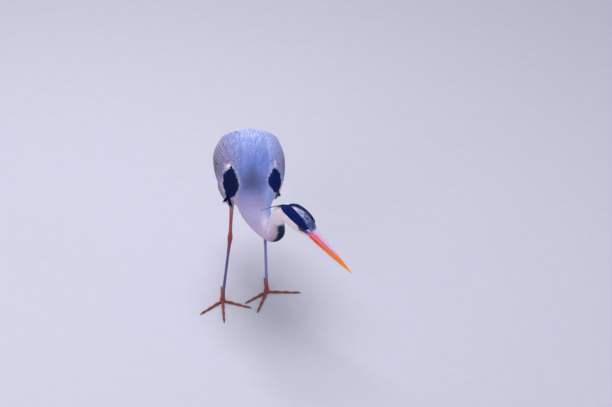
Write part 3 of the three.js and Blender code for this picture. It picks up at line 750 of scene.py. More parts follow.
lit = add_node(
    group, "ShaderNodeMix", {0: rim, 6: given["Tint"], 7: (0.85, 0.84, 0.92, 1)},
    data_type="RGBA",
)
group.links.new(
    scaled_colour(group, lit.outputs[2], math_node(group, "ADD", 1.0, change)), result["Colour"]
)
shaft = math_node(
    group, "SUBTRACT", 1.0, math_node(group, "MULTIPLY", off_shaft, 14.0, clamp=True)
)
group.links.new(math_node(group, "ADD", rough_barb, shaft), result["Height"])
VANE_GROUP = group
print("nodes of the vane group:", len(group.nodes))

# %% The node group for grain
group, given, result = new_group(
    "Grain",
    {
        "Tint": ("NodeSocketColor", (1, 1, 1, 1)), "Scale": ("NodeSocketFloat", 900.0),
        "Detail": ("NodeSocketFloat", 4.0), "Least": ("NodeSocketFloat", 0.7),
        "More": ("NodeSocketFloat", 0.6),
    },
    {"Colour": "NodeSocketColor", "Height": "NodeSocketFloat"},
)
grain = object_noise(group, given["Scale"], given["Detail"])
amount = math_node(group, "ADD", given["Least"], math_node(group, "MULTIPLY", grain, given["More"]))
group.links.new(scaled_colour(group, given["Tint"], amount), result["Colour"])
group.links.new(grain, result["Height"])
GRAIN_GROUP = group
print("nodes of the grain group:", len(group.nodes))

# %% Materials that hold a group
def new_material(name, roughness, **sockets):
    """A material with its Principled shader, and plain values on that shader's sockets."""
    material = bpy.data.materials.new(name)
    material.use_nodes = True
    shader = material.node_tree.nodes["Principled BSDF"]
    shader.inputs["Roughness"].default_value = roughness
    for label, value in sockets.items():
        shader.inputs[label.replace("_", " ")].default_value = value
    return material, material.node_tree, shader


def bump(tree, shader, height, strength, distance):
    """Gives a shader's surface a fine relief."""
    node = add_node(
        tree, "ShaderNodeBump", {"Height": height, "Strength": strength, "Distance": distance}
    )
    tree.links.new(node.outputs[0], shader.inputs["Normal"])


def grouped_material(name, group, values, relief, roughness, **sockets):
    """A material whose painted tint passes through a group. Relief is (strength, distance)."""
    material, tree, shader = new_material(name, roughness, **sockets)
    tint = add_node(tree, "ShaderNodeAttribute", attribute_name="Tint").outputs["Color"]
    node = add_node(tree, "ShaderNodeGroup", {"Tint": tint, **values}, node_tree=group)
    tree.links.new(node.outputs["Colour"], shader.inputs["Base Color"])
    if relief:
        bump(tree, shader, node.outputs["Height"], *relief)
    return material


def feather_material(name, barbs, contrast, edge, roughness=0.72, relief=0.15, shine=0.25):
    """Vanes with a number of barbs, their contrast, and how pale their edge is."""
    values = {"Barbs": barbs, "Contrast": contrast, "Edge": edge}
    return grouped_material(
        name, VANE_GROUP, values, (relief, 0.0004), roughness, Sheen_Weight=0.35 * shine,
        Sheen_Roughness=0.5, Specular_IOR_Level=shine,
    )


def grained_material(name, grain, least, more, relief, roughness, **sockets):
    """Grain is (scale, detail). Its brightness runs from least, and more above that."""
    values = {"Scale": grain[0], "Detail": grain[1], "Least": least, "More": more}
    return grouped_material(name, GRAIN_GROUP, values, relief, roughness, **sockets)


BODY_FEATHERS = feather_material("body feathers", 60.0, 0.14, 0.12)
FINE_FEATHERS = feather_material("fine feathers", 40.0, 0.1, 0.05, relief=0.12)
BLACK_FEATHERS = feather_material("black feathers", 60.0, 0.3, 0.0, 0.6, shine=0.06)
FLIGHT_FEATHERS = feather_material("flight feathers", 260.0, 0.2, 0.35, 0.6, relief=0.2)
PLUME_FEATHERS = feather_material("plume feathers", 220.0, 0.14, 0.15, 0.65)

SKIN = grained_material(
    "downy skin", (600.0, 4.0), 0.35, 1.0, (0.5, 0.0008), 0.85, Specular_IOR_Level=0.2
)
print("materials:", [material.name for material in bpy.data.materials])

# %% [markdown]
# ## The skin
# One skin covers the whole feathered bird, so that no seam shows where neck, wings and thighs
# meet the trunk. Each part starts as a plain grid that is rolled up into a tube of its own size,
# as deep inside the plumage as the feathers there stand high. Booleans could unite the tubes, but
# they leave a hard crease. So all the tubes are joined and remeshed to one surface, and smoothed,
# most of all where two parts meet.

# %% Rolled tubes for the skin
# How deep under the outside of each part its skin lies, in millimetres.
COAT = {"trunk": 3.4, "shoulders": 2.8, "neck": 2.0, "head": 1.1, "thigh": 3.0, "wing": 0.6}
SKIN_VOXEL = 0.0017


def tube(surface, rows, columns, start=0.0, end=1.0):
    """Rolls a grid up into a closed tube of a surface's shape and fills its ends."""
    bpy.ops.object.select_all(action="DESELECT")
    bpy.ops.mesh.primitive_grid_add(x_subdivisions=columns, y_subdivisions=rows, size=1)
    piece = bpy.context.object
    round_it, along = (coordinates(piece)[:, :2] + 0.5).T
    set_coordinates(piece, settled(surface(start + (end - start) * along, 360 * round_it)))
    bpy.ops.object.mode_set(mode="EDIT")
    bpy.ops.mesh.select_all(action="SELECT")
    bpy.ops.mesh.remove_doubles(threshold=1e-6)
    bpy.ops.mesh.fill_holes(sides=0)
    bpy.ops.mesh.select_all(action="SELECT")
    bpy.ops.mesh.normals_make_consistent(inside=False)
    bpy.ops.object.mode_set(mode="OBJECT")
    return piece


def joined(pieces):
    """Joins pieces into one and shades it smooth."""
    bpy.ops.object.select_all(action="DESELECT")
    for piece in pieces:
        piece.select_set(True)
    bpy.context.view_layer.objects.active = pieces[0]
    bpy.ops.object.join()
    bpy.ops.object.shade_smooth()
    return bpy.context.object


def wing_slab(side):
    """A folded wing's lens, as a surface whose angle runs out over it and back underneath."""
    outside = wing(side)

    def surface(s, degrees):
        top, foot = read(WING_TOP, s), read(WING_FOOT, s)
        over = degrees <= 180
        share = np.where(over, degrees / 180, (360 - degrees) / 180)
        place = top + (foot - top) * share
        outer = outside(s, place, -COAT["wing"])
        inner = trunk(s, side * place, -6.0)
        return np.where(over[:, None], outer, inner)

    return surface


def sunk(surface, depth):
    """A surface, moved inwards."""
    return lambda place, degrees: surface(place, degrees, -depth)


skin = joined([
    tube(sunk(trunk, COAT["trunk"]), 60, 48, 0, 7.2),
    tube(sunk(neck, COAT["neck"]), 80, 40),
    tube(sunk(shoulders, COAT["shoulders"]), 30, 60),
    tube(sunk(head, COAT["head"]), 40, 40),
    *[tube(sunk(thigh(name), COAT["thigh"]), 24, 32, 0.0, 1.06) for name in SIDES],
    *[tube(wing_slab(side), 60, 48, 0.85, 8.6) for side in SIDES.values()],
])
apply_modifier(skin, "REMESH", mode="VOXEL", voxel_size=SKIN_VOXEL)
apply_modifier(skin, "SMOOTH", factor=0.5, iterations=10)
print("skin faces:", len(skin.data.polygons))

# %% [markdown]
# The map of the body holds sample points of each part's surface, and the colour at each. The
# nearest sample of each part tells any point of the skin its colour, and near parts share in it,
# so that no seam shows. Where a point is near to two parts of the flesh at once it lies in the
# fold between them, so it is smoothed much more.

# %% The map of the body
def part_samples(surface, colour, depth, places, angles):
    """Points of a part's skin at a grid of places and angles, and the colour at each."""
    along, round_it = (values.ravel() for values in np.meshgrid(places, angles))
    return settled(surface(along, round_it, -depth)), colour(along, round_it)


def side_colour(name):
    """The colour of the wing on one side, by place."""
    return lambda s, degrees: wing_colour(name, s, degrees)


def thigh_colour(place, degrees):
    """One tone all over."""
    return np.tile(THIGH_TONE, (len(place), 1))


whole_turn = np.arange(0, 360, 3.0)
samples = {
    part: part_samples(surface, colour, COAT[part], np.linspace(0, end, count), whole_turn)
    for part, surface, colour, end, count in (
        ("trunk", trunk, trunk_colour, 7.3, 110), ("neck", neck, neck_colour, 1, 160),
        ("shoulders", shoulders, shoulder_colour, 1, 40), ("head", head, head_colour, 1, 90),
    )
}
for name, side in SIDES.items():
    samples[f"wing_{name}"] = part_samples(
        wing(side), side_colour(name), COAT["wing"], np.linspace(0.9, 8.5, 110),
        np.arange(26, 126, 2.0),
    )
    samples[f"thigh_{name}"] = part_samples(
        thigh(name), thigh_colour, COAT["thigh"], np.linspace(0.1, 1.05, 34), whole_turn
    )
print("samples:", {part: len(points) for part, (points, _) in samples.items()})

# %% Colour and folds of the skin
def tree_of(points):
    """A tree that finds the nearest of some points quickly."""
    tree = KDTree(len(points))
    for index, point in enumerate(points):
        tree.insert(point, index)
    tree.balance()
    return tree


def paint(piece, colours):
    """Writes a tint for each vertex of a piece."""
    layer = piece.data.color_attributes.new("Tint", "FLOAT_COLOR", "POINT")
    values = np.c_[np.clip(colours, 0, 1), np.ones(len(colours))]
    layer.data.foreach_set("color", values.astype(np.float32).ravel())


FOLDS = ("trunk", "neck", "head", "thigh_left", "thigh_right")  # parts with folds between them
FOLD_REACH = (0.004, 0.026)  # how near a second part is in the middle and at the edge of a fold
SHARING = 0.0015  # how gradually neighbouring parts share in a colour, in metres
trees = {part: tree_of(points) for part, (points, _) in samples.items()}
gaps = np.sort([
    [trees[part].find(point)[2] for point in coordinates(skin)] for part in FOLDS
], axis=0)
in_fold = 1 - ease(*FOLD_REACH, gaps[1])
fold_group = skin.vertex_groups.new(name="folds")
for index in np.flatnonzero(in_fold > 0.01):
    fold_group.add([int(index)], float(in_fold[index]), "REPLACE")
apply_modifier(skin, "SMOOTH", factor=0.7, iterations=220, vertex_group="folds")


def body_colours(points):
    """The colour of the bird at each of some points on or near its skin, shared by its parts."""
    away, tones = [], []
    for part, tree in trees.items():
        found = [tree.find(point) for point in points]
        away.append([distance for _, _, distance in found])
        tones.append(samples[part][1][[index for _, index, _ in found]])
    share = np.exp((np.min(away, axis=0) - np.array(away)) / SHARING)
    return ((share / share.sum(0))[..., None] * np.array(tones)).sum(0)


paint(skin, body_colours(coordinates(skin)))
finished(
    skin, "skin", SKIN, "plumage_grey",
    "torso", "neck_lower", "neck_bend", "neck_upper", "head", "thigh_left", "thigh_right",
)
skin_faces = BVHTree.FromObject(skin, bpy.context.evaluated_depsgraph_get())

# %% [markdown]
# ## How a feather is made
# One straight feather is modelled first: a thin prism is cut across at a few places along it, and
# its underside is flattened. The coat is then a joined mesh of thousands of copies of it, each
# narrowed to its outline, arched, and bent to follow the skin below it. Hair could stand in for
# them, but real feathers overlap like tiles, and solid ones catch the light as those do.

# %% Straight feathers as templates
class Feather:
    """A straight feather: for each vertex its share of the length, across and up, and its faces."""

    def __init__(self, sides, cuts):
        bpy.ops.object.select_all(action="DESELECT")
        bpy.ops.mesh.primitive_cylinder_add(
            vertices=sides, radius=1, depth=1, rotation=(-math.pi / 2, 0, 0)
        )
        piece = bpy.context.object
        bpy.ops.object.transform_apply(rotation=True)
        bpy.ops.object.mode_set(mode="EDIT")
        for cut in cuts:
            bpy.ops.mesh.select_all(action="SELECT")
            bpy.ops.mesh.bisect(plane_co=(0, cut - 0.5, 0), plane_no=(0, 1, 0))
        bpy.ops.object.mode_set(mode="OBJECT")
        points = coordinates(piece)
        self.across, self.share = points[:, 0].round(5), (points[:, 1] + 0.5).round(5)
        self.up = np.where(points[:, 2] < -0.01, 0.0, points[:, 2]).round(5)
        self.faces = [list(face.vertices) for face in piece.data.polygons]
        self.rows, self.row = np.unique(self.share, return_inverse=True)
        self.rim = np.where(np.abs(self.across) > 0.99, np.sign(self.across), 0)
        bpy.data.objects.remove(piece)


SMALL = Feather(4, (0.3, 0.6, 0.85))
LONG = Feather(4, (0.12, 0.3, 0.5, 0.7, 0.85, 0.94))
BROAD = Feather(8, (0.08, 0.2, 0.35, 0.5, 0.65, 0.8, 0.9, 0.96))
# Outlines: how wide a feather is at shares of its length.
ROUND_TIP = [(0, 0.45), (0.3, 0.85), (0.6, 1), (0.85, 0.85), (0.96, 0.5), (1, 0.2)]
BROAD_TIP = [(0, 0.6), (0.3, 0.95), (0.75, 1), (0.9, 0.8), (0.97, 0.45), (1, 0.12)]
LANCE_TIP = [(0, 0.5), (0.3, 1), (0.65, 0.75), (0.88, 0.32), (1, 0.05)]
PLUME_TIP = [(0, 0.7), (0.3, 1), (0.7, 0.8), (0.92, 0.4), (1, 0.08)]
BAKE_SPOT = 0.003  # the width of a feather's spot on its bake map
MOST = 5000  # feathers in one piece
DARKEST = 0.05  # a feather whose colour is darker than this is black
print("faces of a feather:", [len(form.faces) for form in (SMALL, LONG, BROAD)])

# %% The mesh of many feathers
def outward_faces(form, points):
    """The faces of a feather, turned so that they point outwards on a copy with these points."""
    one = points - points.mean(0)
    volume = sum(
        np.dot(one[face[0]], np.cross(one[face[k]], one[face[k + 1]]))
        for face in form.faces
        for k in range(1, len(face) - 1)
    )
    return form.faces if volume > 0 else [face[::-1] for face in form.faces]


def feathers_mesh(name, form, points):
    """A mesh of copies of a feather, smooth but for their rims and ends, and its loops."""
    count, vertices = points.shape[:2]
    faces = outward_faces(form, points[0])
    sizes = np.tile([len(face) for face in faces], count)
    loops = (np.concatenate(faces) + np.arange(count)[:, None] * vertices).ravel()
    mesh = bpy.data.meshes.new(name)
    mesh.vertices.add(count * vertices)
    mesh.vertices.foreach_set("co", points.astype(np.float32).ravel())
    mesh.loops.add(len(loops))
    mesh.loops.foreach_set("vertex_index", loops.astype(np.int32))
    mesh.polygons.add(len(sizes))
    mesh.polygons.foreach_set("loop_start", (np.cumsum(sizes) - sizes).astype(np.int32))
    mesh.polygons.foreach_set("loop_total", sizes.astype(np.int32))
    mesh.polygons.foreach_set("use_smooth", np.ones(len(sizes), bool))
    mesh.update(calc_edges=True)
    ends = np.empty(len(mesh.edges) * 2, np.int32)
    mesh.edges.foreach_get("vertices", ends)
    a, b = (ends.reshape(-1, 2) % vertices).T
    at_end = (form.share[a] == form.share[b]) & (form.share[a] % 1 == 0)
    sharp = (form.rim[a] * form.rim[b] > 0) | at_end
    mesh.attributes.new("sharp_edge", "BOOLEAN", "EDGE").data.foreach_set("value", sharp)
    return mesh, loops

# %% Joining copies of a feather
def joined_feathers(name, form, points, colours, roots, material, slot, *nodes):
    """One piece, or several, from copies of a feather. All is numbered by copy."""
    if len(points) > MOST:
        parts = np.array_split(np.arange(len(points)), math.ceil(len(points) / MOST))
        for number, part in enumerate(parts):
            joined_feathers(
                f"{name}_{number}", form, points[part], colours[part], roots[part], material, slot,
                *(nodes if number == 0 else ()),
            )
        return
    count, vertices = points.shape[:2]
    mesh, loops = feathers_mesh(name, form, points)
    vane = np.tile(np.stack([form.across / 2 + 0.5, form.share], -1), (count, 1))
    bake = np.repeat(roots, vertices, 0) + (vane - 0.5) * BAKE_SPOT
    for label, values in (("Vane", vane), ("OFBake", bake)):
        layer = mesh.uv_layers.new(name=label)
        layer.data.foreach_set("uv", values[loops].astype(np.float32).ravel())
    piece = bpy.data.objects.new(name, mesh)
    bpy.context.scene.collection.objects.link(piece)
    paint(piece, colours.reshape(-1, 3))
    finished(piece, name, material, slot, *nodes)


def spread(along, round_it):
    """Lays roots out on the bake map by their places along and round the part."""
    flat = []
    for values in (along, round_it):
        low, high = values.min(), values.max()
        flat.append(0.02 + 0.96 * (values - low) / max(high - low, 1e-6))
    return np.stack(flat, -1)

# %% Rows of roots
LINE_STEPS, RING_STEPS = 300, 121  # how finely rows are measured along and round a part
SCATTER = {"round": 0.08, "along": 0.12}  # how far roots stray, in shares of a gap and of a row


def rows_of_roots(surface, start, end, row, gap, around=(0, 360)):
    """Roots in staggered rows on a surface, row and gap millimetres apart."""
    line = np.linspace(start, end, LINE_STEPS)
    steps = [
        np.linalg.norm(np.diff(surface(line, np.full(LINE_STEPS, a)), axis=0), axis=1)
        for a in np.linspace(*around, 5)
    ]
    length = np.concatenate([[0], np.cumsum(np.mean(steps, axis=0))])
    places = np.interp(np.arange(0, length[-1], row), length, line)
    angles = np.linspace(*around, RING_STEPS)
    found = []
    for index, place in enumerate(places):
        ring = surface(np.full(RING_STEPS, place), angles)
        arc = np.linalg.norm(np.diff(ring, axis=0), axis=1)
        arc = np.concatenate([[0], np.cumsum(arc)])
        spots = (np.arange(max(3, round(arc[-1] / gap))) + 0.5 * (index % 2)) * gap
        spots = spots[spots < arc[-1]]
        spots = spots + chance.normal(0, gap * SCATTER["round"], len(spots))
        shift = chance.normal(0, SCATTER["along"], len(spots)) * (places[1] - places[0])
        found.append(np.stack([place + shift, np.interp(spots, arc, angles)], -1))
    return np.vstack(found)

# %% Feathers that follow the skin
def follow_skin(roots, ways, lengths, shares):
    """Walks along the skin from each root, and gives points, normals and ways at the shares."""
    points, normals, courses = (np.empty((len(roots), len(shares), 3)) for _ in range(3))
    for i in range(len(roots)):
        spot, course = Vector(roots[i]), Vector(ways[i])
        walked = 0.0
        for k, share in enumerate(shares):
            ahead = spot + course * (share - walked) * lengths[i]
            spot, normal, _, _ = skin_faces.find_nearest(ahead)
            walked = share
            course = (course - normal * course.dot(normal)).normalized()
            points[i, k], normals[i, k], courses[i, k] = spot, normal, course
    return points, normals, courses

# %% A coat of feathers
VARIED = {"length": (0.9, 1.12), "width": (0.92, 1.1), "lift": (0.95, 1.05)}
SUNK = 0.5  # how deep a feather's root lies in the skin, in millimetres
# How bright its root is, how much brighter its tip, and where its pale rim begins.
ROOT_SHADE, TIP_SHADE, RIM_START = 0.93, 0.09, 0.84


def of_look(look, key, default, along, round_it):
    """A value of a look, for each feather: a number, or a function of its place."""
    value = look.get(key, default)
    return value(along, round_it) if callable(value) else np.full(len(along), float(value))


def bent(look, form, paths, along, round_it, long, half, lift):
    """Lays feathers along their paths over the skin: turned, tilted, arched and raised."""
    points, normals, courses = (values[:, form.row] for values in paths)
    yaw = chance.normal(0, look.get("yaw", 0.06), len(along))[:, None]
    tilt = of_look(look, "tilt", 0, along, round_it) + chance.normal(0, 0.03, len(along))
    wide = half[:, None] * read(look["outline"], form.share) * form.across
    drift = wide + yaw * form.share * long[:, None]
    lift = (lift * chance.uniform(*VARIED["lift"], len(along)))[:, None]
    rise = (lift + SUNK) * form.share ** look.get("curve", 0.8) - SUNK + look["thick"] * form.up
    rise = rise - look["arch"] * form.across**2 * half[:, None] / 3 + tilt[:, None] * wide
    sides = np.cross(courses, normals)
    return points + sides * (drift * MM)[..., None] + normals * (rise * MM)[..., None]


def shaded(look, form, tint):
    """Tints along each feather: a little darker at the root, with a pale rim unless it is dark."""
    tint = tint * chance.normal(1, look["vary"], (len(tint), 1))
    tint = tint[:, None, :] * (ROOT_SHADE + TIP_SHADE * form.share)[:, None]
    pale = look.get("rim", 0.0) * ease(RIM_START, 1.0, form.share)
    return tint + (PALE - tint) * pale[:, None] * (tint.mean(-1, keepdims=True) > DARKEST)


def coat(name, surface, roots, look, material, slot, form=SMALL, tone=None):
    """Feathers on the skin, from roots on a surface. Look holds their sizes in millimetres."""
    step = np.array(look.get("way", (1, 0))) * 1e-3
    along, round_it = roots.T
    at = settled(surface(along, round_it, -look["depth"]))
    way = unit(settled(surface(along + step[0], round_it + step[1], -look["depth"])) - at)
    reach = look.get("reach", 3) * MM
    touching = np.array([skin_faces.find_nearest(point)[3] < reach for point in at])
    along, round_it, at, way = along[touching], round_it[touching], at[touching], way[touching]
    grow = of_look(look, "grow", 1, along, round_it)
    long = look["length"] * chance.uniform(*VARIED["length"], len(at)) * grow
    lift = of_look(look, "lift", 2, along, round_it) * grow**0.5
    paths = follow_skin(at, way, long * MM, form.rows)
    middle, upwards = (values[:, len(form.rows) // 2] for values in paths[:2])
    if "keep" in look:
        raised_middle = middle + upwards * (lift * 0.7 * MM)[:, None]
        kept = look["keep"](seen(unsettled(raised_middle)), along)
        paths = [values[kept] for values in paths]
        along, round_it, grow, lift, long, middle = (
            values[kept] for values in (along, round_it, grow, lift, long, middle)
        )
    half = look["width"] * chance.uniform(*VARIED["width"], len(along)) * grow / 2
    tint = body_colours(middle)
    if tone:
        tint = tone(tint, along, round_it)
    out = bent(look, form, paths, along, round_it, long, half, lift)
    dark = tint.mean(-1) < DARKEST
    tint, spots = shaded(look, form, tint), spread(along, round_it)
    for part, ending, *dress in (
        (~dark, "", material, slot), (dark, "_black", BLACK_FEATHERS, "plumage_black"),
    ):
        if part.any():
            joined_feathers(name + ending, form, out[part], tint[part], spots[part], *dress)

# %% [markdown]
# ## The coat of the trunk, neck, head and thighs
# Each part gets staggered rows of feathers of its own size, longest on the back and smallest on
# the face. They could be scattered at random, but rows that overlap leave no gap, and that is how
# feathers grow.

# %% The coat of the trunk
def outside_wings(roots):
    """Leaves out the roots that lie well under a wing, more than a margin of degrees inside."""
    margin = 9
    s, degrees = roots[:, 0], from_top(roots[:, 1])
    below_top, above_foot = degrees - read(WING_TOP, s), read(WING_FOOT, s) - degrees
    under = (s > 1.2) & (below_top > margin) & (above_foot > margin)
    return roots[~under]


def look_of(part, length, width, lift, **more):
    """How the feathers on a part look: sizes in millimetres, and the usual values for the rest."""
    usual = {"thick": 0.12, "arch": 0.35, "vary": 0.04, "outline": ROUND_TIP}
    sizes = {"depth": COAT[part], "length": length, "width": width, "lift": lift}
    return {**usual, **sizes, **more}


TRUNK_LOOK = look_of(
    "trunk", 17, 8.4, 2.3, arch=0.3, vary=0.03, reach=3.5, rim=0.08,
    grow=lambda s, degrees: 0.72 + 0.28 * ease(0.6, 2.5, s),
)
coat(
    "coat_trunk", trunk, outside_wings(rows_of_roots(trunk, 0.05, 7.15, 3.9, 3.5)), TRUNK_LOOK,
    BODY_FEATHERS, "plumage_grey",
)
coat(
    "coat_shoulders", shoulders, rows_of_roots(shoulders, 0.0, 1.0, 3.4, 2.9),
    {**TRUNK_LOOK, "depth": COAT["shoulders"], "length": 13, "width": 5.4, "lift": 1.8},
    BODY_FEATHERS, "plumage_grey",
)

# %% [markdown]
# Long, loose plumes droop from the back over the upper edges of the folded wings. They stand
# higher off the skin than the short feathers, and higher still where a wing lies below.

# %% Plumes over the back and the upper edge of the wings
# How far round the plumes grow at each station, in degrees from the back.
PLUME_SPAN = [(1.4, 20), (1.8, 38), (2.2, 50), (3, 60), (5.5, 58), (6.9, 46)]


def plume_stand(s, degrees):
    """How high the plumes stand: more over the wings, and less where they begin at the sides."""
    a = np.abs(degrees)
    high = 6.3 - 2.8 * ease(6, 36, a) + 3.1 * ease(40, 54, a)
    return high * (1 - 0.4 * ease(-9, 0, a - read(PLUME_SPAN, s)))


BACK_LOOK = look_of(
    "trunk", 40, 5.0, plume_stand, thick=0.16, arch=0.25, vary=0.09, outline=PLUME_TIP,
    yaw=0.03, rim=0.4, curve=0.5, reach=12,
    grow=lambda s, degrees: (0.8 + 0.2 * ease(1.4, 2.4, s)) * (1 - 0.4 * ease(5.4, 6.8, s)),
    tilt=lambda s, degrees: 0.08 * np.clip(degrees / 25, -1, 1),
)


def streaked(tint, s, degrees):
    """Two plumes in five are paler, less so at the sides."""
    streak = (chance.random(len(s)) < 0.4) * ease(1.6, 2.6, s) * 0.7
    streak = streak * (1 - 0.75 * ease(16, 40, np.abs(degrees)))
    return blend(tint, PALE, streak)


roots = rows_of_roots(trunk, 1.4, 6.9, 7, 2.3, around=(-62, 62))
roots = roots[np.abs(roots[:, 1]) < read(PLUME_SPAN, roots[:, 0])]
coat("plumes_back", trunk, roots, BACK_LOOK, PLUME_FEATHERS, "plumage_grey", LONG, streaked)

# %% The coat of the neck
NECK_LOOK = look_of(
    "neck", 11, 4.2, 1.4, vary=0.025, way=(-1, 0), reach=9,
    grow=lambda place, degrees: 1.5 - 0.6 * ease(0.1, 0.5, place),
)


def streaked_neck(tint, place, degrees):
    """Two rows of black streaks run down the front of the neck."""
    a = from_top(degrees)
    row = (np.abs(a - 160) < 6.5) & (place > 0.16) & (place < 0.68)
    return blend(tint, BLACK, (row & (chance.random(len(a)) < 0.5)) * 0.95)


coat(
    "coat_neck", neck, rows_of_roots(neck, 0.07, 1.0, 2.7, 2.1), NECK_LOOK, FINE_FEATHERS,
    "plumage_white", tone=streaked_neck,
)

# %% [markdown]
# The face needs the smallest feathers, and they stop short of the eyes, of the bare skin before
# them and of the line of the mouth. The crown's feathers are longer, narrow and streaked.

# %% The coat of the head
HEAD_LOOK = look_of(
    "head", 7.5, 2.6, 1.0, thick=0.1, arch=0.3, way=(-1, 0),
    grow=lambda place, degrees: 1.2 - 0.72 * ease(0.4, 0.95, place),
)


def head_place(place, degrees):
    """How far along the bill's axis and how far up a place on the head is, in millimetres."""
    _, crown, chin = np.moveaxis(HEAD_LINE(place), -1, 0)
    up = (crown + chin) / 2 + (crown - chin) / 2 * np.cos(np.radians(degrees))
    return HEAD_X(place)[..., 0], up


def mouth_height(x):
    """The height of the line of the mouth behind the bill."""
    return np.interp(x, [4, 28], [-9, -5.5])


def feathered_face(roots):
    """Leaves the eyes, the lores and the line of the mouth bare."""
    a = from_top(roots[:, 1])
    x, up = head_place(*roots.T)
    at_side = (a > 30) & (a < 150)
    eye = np.hypot(x / 7.4, (up - EYE["up"]) / 6.2) < 1
    lores = (x > 6) & (up > mouth_height(x)) & (up < 8.5 - 0.15 * x)
    mouth = (x > 2) & (np.abs(up - mouth_height(x)) < 0.9)
    return roots[~((eye | lores | mouth) & at_side)]


def on_crown(roots):
    """Picks the long streaked feathers of the crown, between the bands of the crest."""
    return (between_bands(*roots.T) > -3) & (roots[:, 0] > 0.16)


roots = feathered_face(rows_of_roots(head, 0.02, 0.985, 1.8, 1.5))
coat("coat_head", head, roots[~on_crown(roots)], HEAD_LOOK, FINE_FEATHERS, "plumage_white")

# %% The streaked crown
CROWN_LOOK = {
    **HEAD_LOOK, "length": 15, "width": 1.8, "lift": 1.7, "outline": LANCE_TIP, "yaw": 0.04,
    "grow": lambda place, degrees: 1.0 - 0.5 * ease(0.55, 0.95, place),
}


def streaked_crown(tint, place, degrees):
    """White behind and along the bands' edges, with more and more dark streaks towards the bill."""
    edge = between_bands(place, degrees)
    white = np.maximum(1 - ease(0.34, 0.46, place), (edge < 5) * (1 - ease(0.6, 0.72, place)))
    tint = blend(tint, SNOW, 0.9 * white)
    dark = chance.random(len(place)) < (0.04 + 0.6 * ease(0.34, 0.72, place)) * (1 - white)
    return blend(tint, blend(NAVY, LORES, 0.3), dark * 0.94 * (1 - ease(0.93, 0.98, place)))


roots = rows_of_roots(head, 0.16, 0.985, 2.4, 1.2, around=(-50, 50))
coat(
    "coat_crown", head, roots[on_crown(roots)], CROWN_LOOK, FINE_FEATHERS, "plumage_white",
    tone=streaked_crown,
)

# %% The coat of the thighs
THIGH_LOOK = look_of(
    "thigh", 15, 4.8, 1.8, grow=lambda place, degrees: 1.1 - 0.5 * ease(0.7, 1.0, place)
)


def all_of(colour):
    """Gives all feathers of a coat one colour."""
    return lambda tint, along, round_it: np.tile(colour, (len(along), 1))


for name in SIDES:
    roots = rows_of_roots(thigh(name), 0.06, 1.03, 3.6, 3.0)
    coat(
        f"coat_thigh_{name}", thigh(name), roots, THIGH_LOOK, FINE_FEATHERS, "plumage_white",
        tone=all_of(THIGH_TONE),
    )

# %% [markdown]
# ## Wings and tail
# The big feathers lie in tiers: each tier covers the roots of the next, and in a tier each vane
# lies a little over its neighbour. An array modifier along a curve could lay them out, but a
# folded wing is a fan that narrows, so each vane is placed between a line of roots and a line of
# tips on the wing's own surface.

# %% Tiers of vanes
# How high a vane stands at shares of its length, in millimetres.
SHINGLED = [(0, -2.4), (0.1, 0.6), (1, 2.8)]
FLAT = [(0, -2.4), (0.1, 0.6), (1, 1.6)]
TRUNK_SCALE = np.array([TRUNK_ALONG, TRUNK_ROUND])
HEAD_SCALE = np.array([HEAD_LONG, HEAD_ROUND])


def cross(a, b):
    """The cross product of flat vectors."""
    return a[0] * b[1] - a[1] * b[0]


def tier(surface, scale, form, look, root, tip):
    """Vanes side by side, from a line of roots to a line of tips, as points and places."""
    root, tip = np.array(root, float), np.array(tip, float)
    points, places = [], []
    for place in np.linspace(0, 1, look["count"]):
        start, end = (
            line[0] + (line[1] - line[0]) * place + chance.normal(0, look["jitter"], 2) / scale
            for line in (root, tip)
        )
        way = end - start
        long = np.hypot(*(way * scale))
        edge = np.array([-way[1] * scale[1], way[0] * scale[0]]) / long / scale * look["half"]
        wide = read(look["outline"], form.share) * form.across
        beside = blend(root[1] - root[0], tip[1] - tip[0], form.share).T
        share = form.share + wide * cross(edge, beside) / cross(way, beside)
        along, round_it = start[:, None] + way[:, None] * form.share + edge[:, None] * wide
        rise = read(look["rise"], share) + look["tilt"] * wide + form.up * look["thick"]
        points.append(surface(along, round_it, rise - look["arch"] * wide**2))
        places.append(np.stack([along, round_it], -1))
    return settled(np.array(points)), np.array(places)


def tiers(name, surface, scale, form, rows, colour, material, slot, *nodes):
    """One piece of several tiers: rows holds (kind, look, root line, tip line) for each."""
    points, colours, roots = [], [], []
    for kind, look, root, tip in rows:
        made, places = tier(surface, scale, form, look, root, tip)
        tone = colour(kind, places[..., 0], places[..., 1])
        tone = tone * chance.normal(1, look.get("vary", 0.05), (len(made), 1, 1))
        points.append(made)
        colours.append(tone * (0.85 + 0.15 * form.share)[:, None])
        roots.append(places[:, form.share == 0].mean(1))
    points, colours, roots = (np.concatenate(values) for values in (points, colours, roots))
    joined_feathers(name, form, points, colours, spread(*roots.T), material, slot, *nodes)

# %% The folded wings
VANE = {
    "thick": 0.3, "arch": 0.12, "jitter": 1.0, "tilt": 0.6, "rise": SHINGLED, "outline": BROAD_TIP,
}
PRIMARY = {**VANE, "rise": FLAT, "tilt": 0.5, "outline": LANCE_TIP}
WING_ROWS = [
    (kind, {**look, "count": count, "half": half}, root, tip)
    for kind, look, count, half, root, tip in (
        ("primaries", PRIMARY, 6, 6.5, ((6.4, 58), (6.2, 86)), ((8.97, 57), (7.8, 79))),
        ("secondaries", VANE, 13, 7.5, ((4.3, 42), (3.6, 107)), ((8.05, 45), (6.3, 98))),
        ("coverts", VANE, 14, 6.6, ((3.4, 46), (2.9, 113)), ((5.1, 44), (4.2, 114))),
        ("coverts", VANE, 15, 6.0, ((2.7, 45), (2.3, 112)), ((4.1, 44), (3.4, 116))),
    )
]


